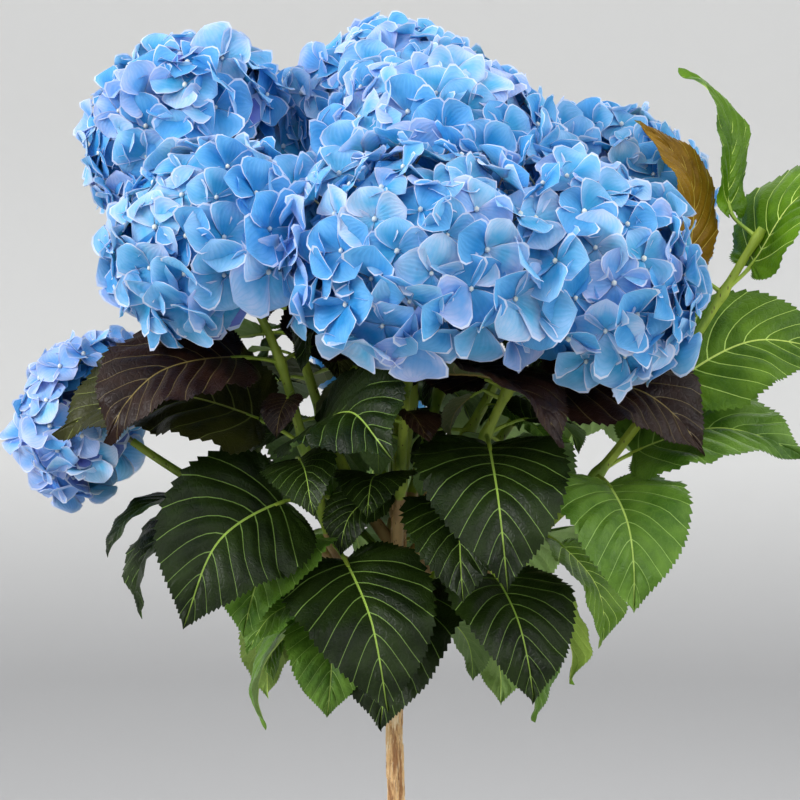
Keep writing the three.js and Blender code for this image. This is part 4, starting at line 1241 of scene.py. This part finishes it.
def petal_group():
    """A sepal's surface, paler to its edge and point (partly painted highlight), with fine veins that fan out
    from its claw.
    """
    group, given, out, place = surface_group("Sepal surface", Main="Color", Pale="Color")
    lay = put(group, "ShaderNodeUVMap", uv_map="Lay").outputs[0]
    lay = put(group, "ShaderNodeSeparateXYZ", {0: lay}).outputs
    cloud = noisy(group, place, 70.0, 4.0)
    aside = reckoned(group, "MULTIPLY_ADD", lay["X"], 2.0, -1.0)
    aside = reckoned(group, "ABSOLUTE", aside)
    # Paler towards the edge and point: partly the sepal's own paler margin, partly a painted highlight where
    # the edges catch the light.
    edge = reckoned(group, "MAXIMUM", lay["Y"], aside)
    edge = ranged(group, edge, 0.42, 1.0, 0.0, 0.75)
    patch = ranged(group, cloud, 0.42, 0.72, 0.0, 0.6)
    pale = reckoned(group, "ADD", edge, patch, use_clamp=True)
    lines = reckoned(group, "SINE", reckoned(group, "MULTIPLY", lay["X"], SEPAL_VEINS))
    vein = ranged(group, lines, 0.35, 1.0, 0.0, 0.22)
    tone = mixed(group, pale, given["Main"], given["Pale"])
    group.links.new(mixed(group, vein, tone, given["Main"]), out["Colour"])
    group.links.new(ranged(group, cloud, 0.0, 1.0, 0.5, 0.66), out["Roughness"])
    group.links.new(bumped(group, lines, 0.14, 0.0005), out["Normal"])
    return group


def depth_in(points, head):
    """How far out points are in a head's own measure: 1 is on the surface of its florets."""
    offset = points - head["middle"]
    along = offset @ head["axis"]
    across = np.linalg.norm(offset - along[..., None] * head["axis"], axis=-1)
    return np.hypot(along / HEAD_FLATNESS, across) / head["radius"]


def outward_in(head, share, turn):
    """The way out of a head's middle, at a share of the way from its top to its last florets."""
    right, ahead = square_to(head["axis"], (0.2, 1, 0.1))
    upright = mix(1, math.cos(math.radians(HEAD_SPREAD)), share)
    across = math.sqrt(1 - upright * upright)
    up = head["axis"] * upright * HEAD_FLATNESS
    return up + right * across * math.cos(turn) + ahead * across * math.sin(turn)


sepal_surface = petal_group()
petal_finishes = [
    dressed(f"Sepal {name}", sepal_surface, specular=0.3, Main=colour(*main), Pale=colour(*pale))
    for name, (main, pale) in PETAL_TONES.items()
]
for finish in petal_finishes:
    petal = finish.node_tree.nodes["Principled BSDF"]
    petal.inputs["Subsurface Weight"].default_value = 0.3
    petal.inputs["Subsurface Radius"].default_value = (0.5, 0.8, 1.0)
    petal.inputs["Subsurface Scale"].default_value = 0.003
bud_skin = skinned("Floret bud", (238, 240, 226), (190, 206, 216), 0.0)
flower_stalk = skinned("Flower stalk", (150, 160, 112), (112, 88, 108), 0.0)
fine_plan = sepal_plan((0.02, 0.15, 0.32, 0.49, 0.66, 0.81, 0.92, 1), (-1, -0.92, -0.48, 0, 0.48, 0.92, 1))
plain_plan = sepal_plan((0.03, 0.27, 0.55, 0.8, 1), (-1, -0.82, 0, 0.82, 1))
bud_points, bud_faces = ball(1)

in_the_way = np.concatenate(blade_points + [part[0] for part in stalks])
leaf_tree = tree_of(in_the_way)


def has_room(centre, normal, size):
    """Whether a floret stands clear of the leaves, tried at its middle and on two rings."""
    right, ahead = square_to(normal)
    spots = [centre]
    for turn in np.arange(8) * math.tau / 8:
        out = right * math.cos(turn) + ahead * math.sin(turn)
        spots += [centre + out * size * share + normal * 0.15 * size * share for share in (0.5, 1.0)]
    return all(leaf_tree.find(spot)[2] > ROOM_TO_LEAF for spot in spots)


heads = [shoot for shoot in SHOOTS if "radius" in shoot]
draw = np.random.default_rng(HEAD_SEED)
floret_parts = {head["name"]: [] for head in heads}
bud_parts, flower_stalks = [], []
for head in heads:
    neck, scale = head["line"].at(1.0), YOUNG_HEADS.get(head["name"], 1)
    hubs = []
    for i in range(BRANCHES):
        way = unit(outward_in(head, (i + 0.35) / (BRANCHES + 1.2), math.radians(i * GOLDEN_ANGLE)))
        hub = head["middle"] + way * head["radius"] * BRANCH_REACH * HEAD_FLATNESS
        branch = bent(12, neck, neck + head["axis"] * head["radius"] * 0.3, hub)
        flower_stalks.append(of_one_finish(*tube(branch, lambda shares: mix(1.7, 0.95, shares), 6, 6.0)))
        hubs.append((hub, way))
    for layer, plan in ((OUTER, fine_plan), (INNER, plain_plan)):
        count = round(layer["count"] * (head["radius"] / FULL_HEAD_RADIUS / scale) ** 2)
        for i in range(count):
            share = (i + 0.5) / count
            outward = outward_in(head, share, math.radians(i * GOLDEN_ANGLE) + layer["first"])
            normal = unit(unit(outward) + FACING_SPREAD * draw.normal(size=3))
            size = FLORET_RADIUS * scale * mix(*layer["sizes"], share) * draw.uniform(0.93, 1.07)
            place = head["middle"] + outward * head["radius"] * layer["reach"] * draw.uniform(0.95, 1.0)
            mood = draw.random()
            nearest = min(depth_in(place, other_head) for other_head in heads if other_head is not head)
            if nearest < layer["hidden"]:
                continue
            swell = VALLEY_SWELL * math.exp(-(((nearest - 1) / VALLEY_WIDTH) ** 2)) if layer is OUTER else 0
            centre = place + outward * head["radius"] * swell - normal * size * 0.2
            fitting = [one for one in (1.0, 0.8) if has_room(centre, normal, size * one)]
            if not fitting:
                continue
            size *= fitting[0]
            if layer is INNER:
                tones = [VIOLET if "left" in head["name"] and mood < 0.2 else SHADE] * 4
            else:
                # Painted light: the lower-left head's sepals are dealt paler tones.
                mood -= LOW_HEAD_PAINTED_LIGHT if head["name"] == "lower_left" else 0
                main = PERIWINKLE if mood < 0.13 else PALE if mood < 0.36 else AZURE if mood < 0.6 else SKY
                tones = [main] * 4
                if draw.random() < 0.5:
                    odd_one = (PERIWINKLE, PALE, AZURE, SKY)[draw.integers(4)]
                    tones[draw.integers(4)] = odd_one
            floret_parts[head["name"]].append(floret(centre, normal, size, plan, tones, draw))
            if layer is OUTER:
                bead = bud_points * BUD_RADIUS * draw.uniform(0.85, 1.15) * (1, 1, 1.15)
                bud_parts.append(of_one_finish(bead + centre + normal * 1.3, bud_faces))
            hub, way = max(hubs, key=lambda one: one[1] @ unit(outward))
            gap = np.linalg.norm(centre - hub)
            stalk = bent(9, hub, hub + way * gap * 0.3, centre - normal * gap * 0.35, centre)
            stalk = tube(stalk, lambda shares: mix(0.75, 0.6, shares), 4, gap / 3)
            flower_stalks.append(of_one_finish(*stalk))

for i, group in enumerate((heads[0:3], heads[3:6], heads[6:9], heads[9:12])):
    parts = [part for head in group for part in floret_parts[head["name"]]]
    piece = many(f"florets_{i + 1}", parts, petal_finishes, PETALS_SHARP_OVER)
    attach(piece, "root")
    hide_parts(*[f"flowers_{head['name']}" for head in group])
for name, parts, finish, slot in (
    ("floret_buds", bud_parts, bud_skin, "blossom"),
    ("flower_stalks", flower_stalks, flower_stalk, "green_stem"),
):
    piece = many(name, parts, [finish])
    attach(piece, "root")

# ---- Young leaves ----
# Side buds in the shade under the heads have opened into short twigs, each with up to three small leaves
# that fill the room between the big ones. Each takes the tone of the big leaf nearest to it, painted shade
# and painted light included.

BARE_SHOOTS = ("right_leafy",)
SPRIG_SPACING = 11
SPRIG_TURN = 99
SPRIG_FROM = 0.22
SPRIG_LENGTHS = (52, 84)
SPRIG_SIZES = (1, 0.75, 0.55)
SPRIG_SHIFTS = (0, 24, -24)
TWIG_LENGTH = 13
TWIG_RADII = (1.5, 1.0)
YOUNG_STALK_RADIUS = 0.95
ROOM_TO_BLADE = 4.6
ROOM_TO_STEM = 2.6
ROOM_TO_HEAD = 1.04
BLADE_FREE_FROM = 9
NEIGHBOURS_WITHIN = 90
YOUNG_SEED = 71


def young_leaf_fits(part, joint):
    """Whether a young leaf's upper side is clear of blades, stems, heads and the young leaves before it."""
    over = part[0][: len(small_plan[0])]
    if any(leaf_tree.find(point)[2] < ROOM_TO_BLADE for point in over):
        return False
    past = over[np.linalg.norm(over - joint, axis=1) > BLADE_FREE_FROM]
    if any(stem_tree.find(point)[2] < ROOM_TO_STEM for point in past):
        return False
    if any((depth_in(over, head) < ROOM_TO_HEAD).any() for head in heads):
        return False
    middle = over.mean(axis=0)
    near = [one for one in young_points if np.linalg.norm(one.mean(axis=0) - middle) < NEIGHBOURS_WITHIN]
    return all(np.linalg.norm(over[:, None] - one[None], axis=2).min() > ROOM_TO_BLADE for one in near)


stem_tree = tree_of(np.concatenate([part[0] for part in stems]))
draw = np.random.default_rng(YOUNG_SEED)
young = {tone: [] for tone in LEAF_TONES}
young_points, twigs = [], []
for shoot in SHOOTS:
    line = shoot["line"]
    if shoot["name"] in BARE_SHOOTS:
        continue
    count = int(line.length * (shoot["stem_end"] - SPRIG_FROM) / SPRIG_SPACING)
    for i in range(count):
        share = mix(SPRIG_FROM, shoot["stem_end"] - 0.02, (i + 0.5) / count)
        foot = line.at(share)
        azimuth = i * SPRIG_TURN + draw.uniform(-20, 20)
        end = foot + direction(azimuth, draw.uniform(5, 30)) * TWIG_LENGTH
        # The nearest big leaf's tone, with the painted shade and painted light it carries.
        tone = min(shoot["leaves"], key=lambda one: abs(one["share"] - share))["tone"]
        grown = []
        for k, turn in enumerate((-46, 46, 0)):
            length, pitch = draw.uniform(*SPRIG_LENGTHS) * (0.8 if k == 2 else 1), draw.uniform(-64, -16)
            for size, shift in [(size, shift) for size in SPRIG_SIZES for shift in SPRIG_SHIFTS]:
                leaf = {"foot": end, "azimuth": azimuth + turn + shift, "pitch": pitch}
                leaf |= {"length": length * size, "roll": draw.uniform(-24, 24)}
                if any(leaf_tree.find(point)[2] < ROOM_TO_BLADE for point in leaf_line(leaf)[2:]):
                    continue
                part = blade(leaf, small_plan, draw)
                if young_leaf_fits(part, leaf_line(leaf)[1]):
                    young[tone].append(part)
                    young_points.append(part[0][: len(small_plan[0])])
                    grown.append(leaf)
                    break
        if grown:
            twig = through([foot, mix(foot, end, 0.5), end])
            twigs.append(of_one_finish(*tube(twig, lambda shares: mix(*TWIG_RADII, shares), 6, 3.0)))
        for leaf in grown:
            stalk = through(leaf_line(leaf))
            twigs.append(of_one_finish(*tube(stalk, lambda shares: YOUNG_STALK_RADIUS, 6, 3.0, STALK_END)))

for tone, parts in young.items():
    if parts:
        piece = many(f"young_leaves_{tone}", parts, leaf_finishes[tone])
        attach(piece, "root")
twigs_piece = many("young_twigs", twigs, [petiole_green])
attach(twigs_piece, "root")
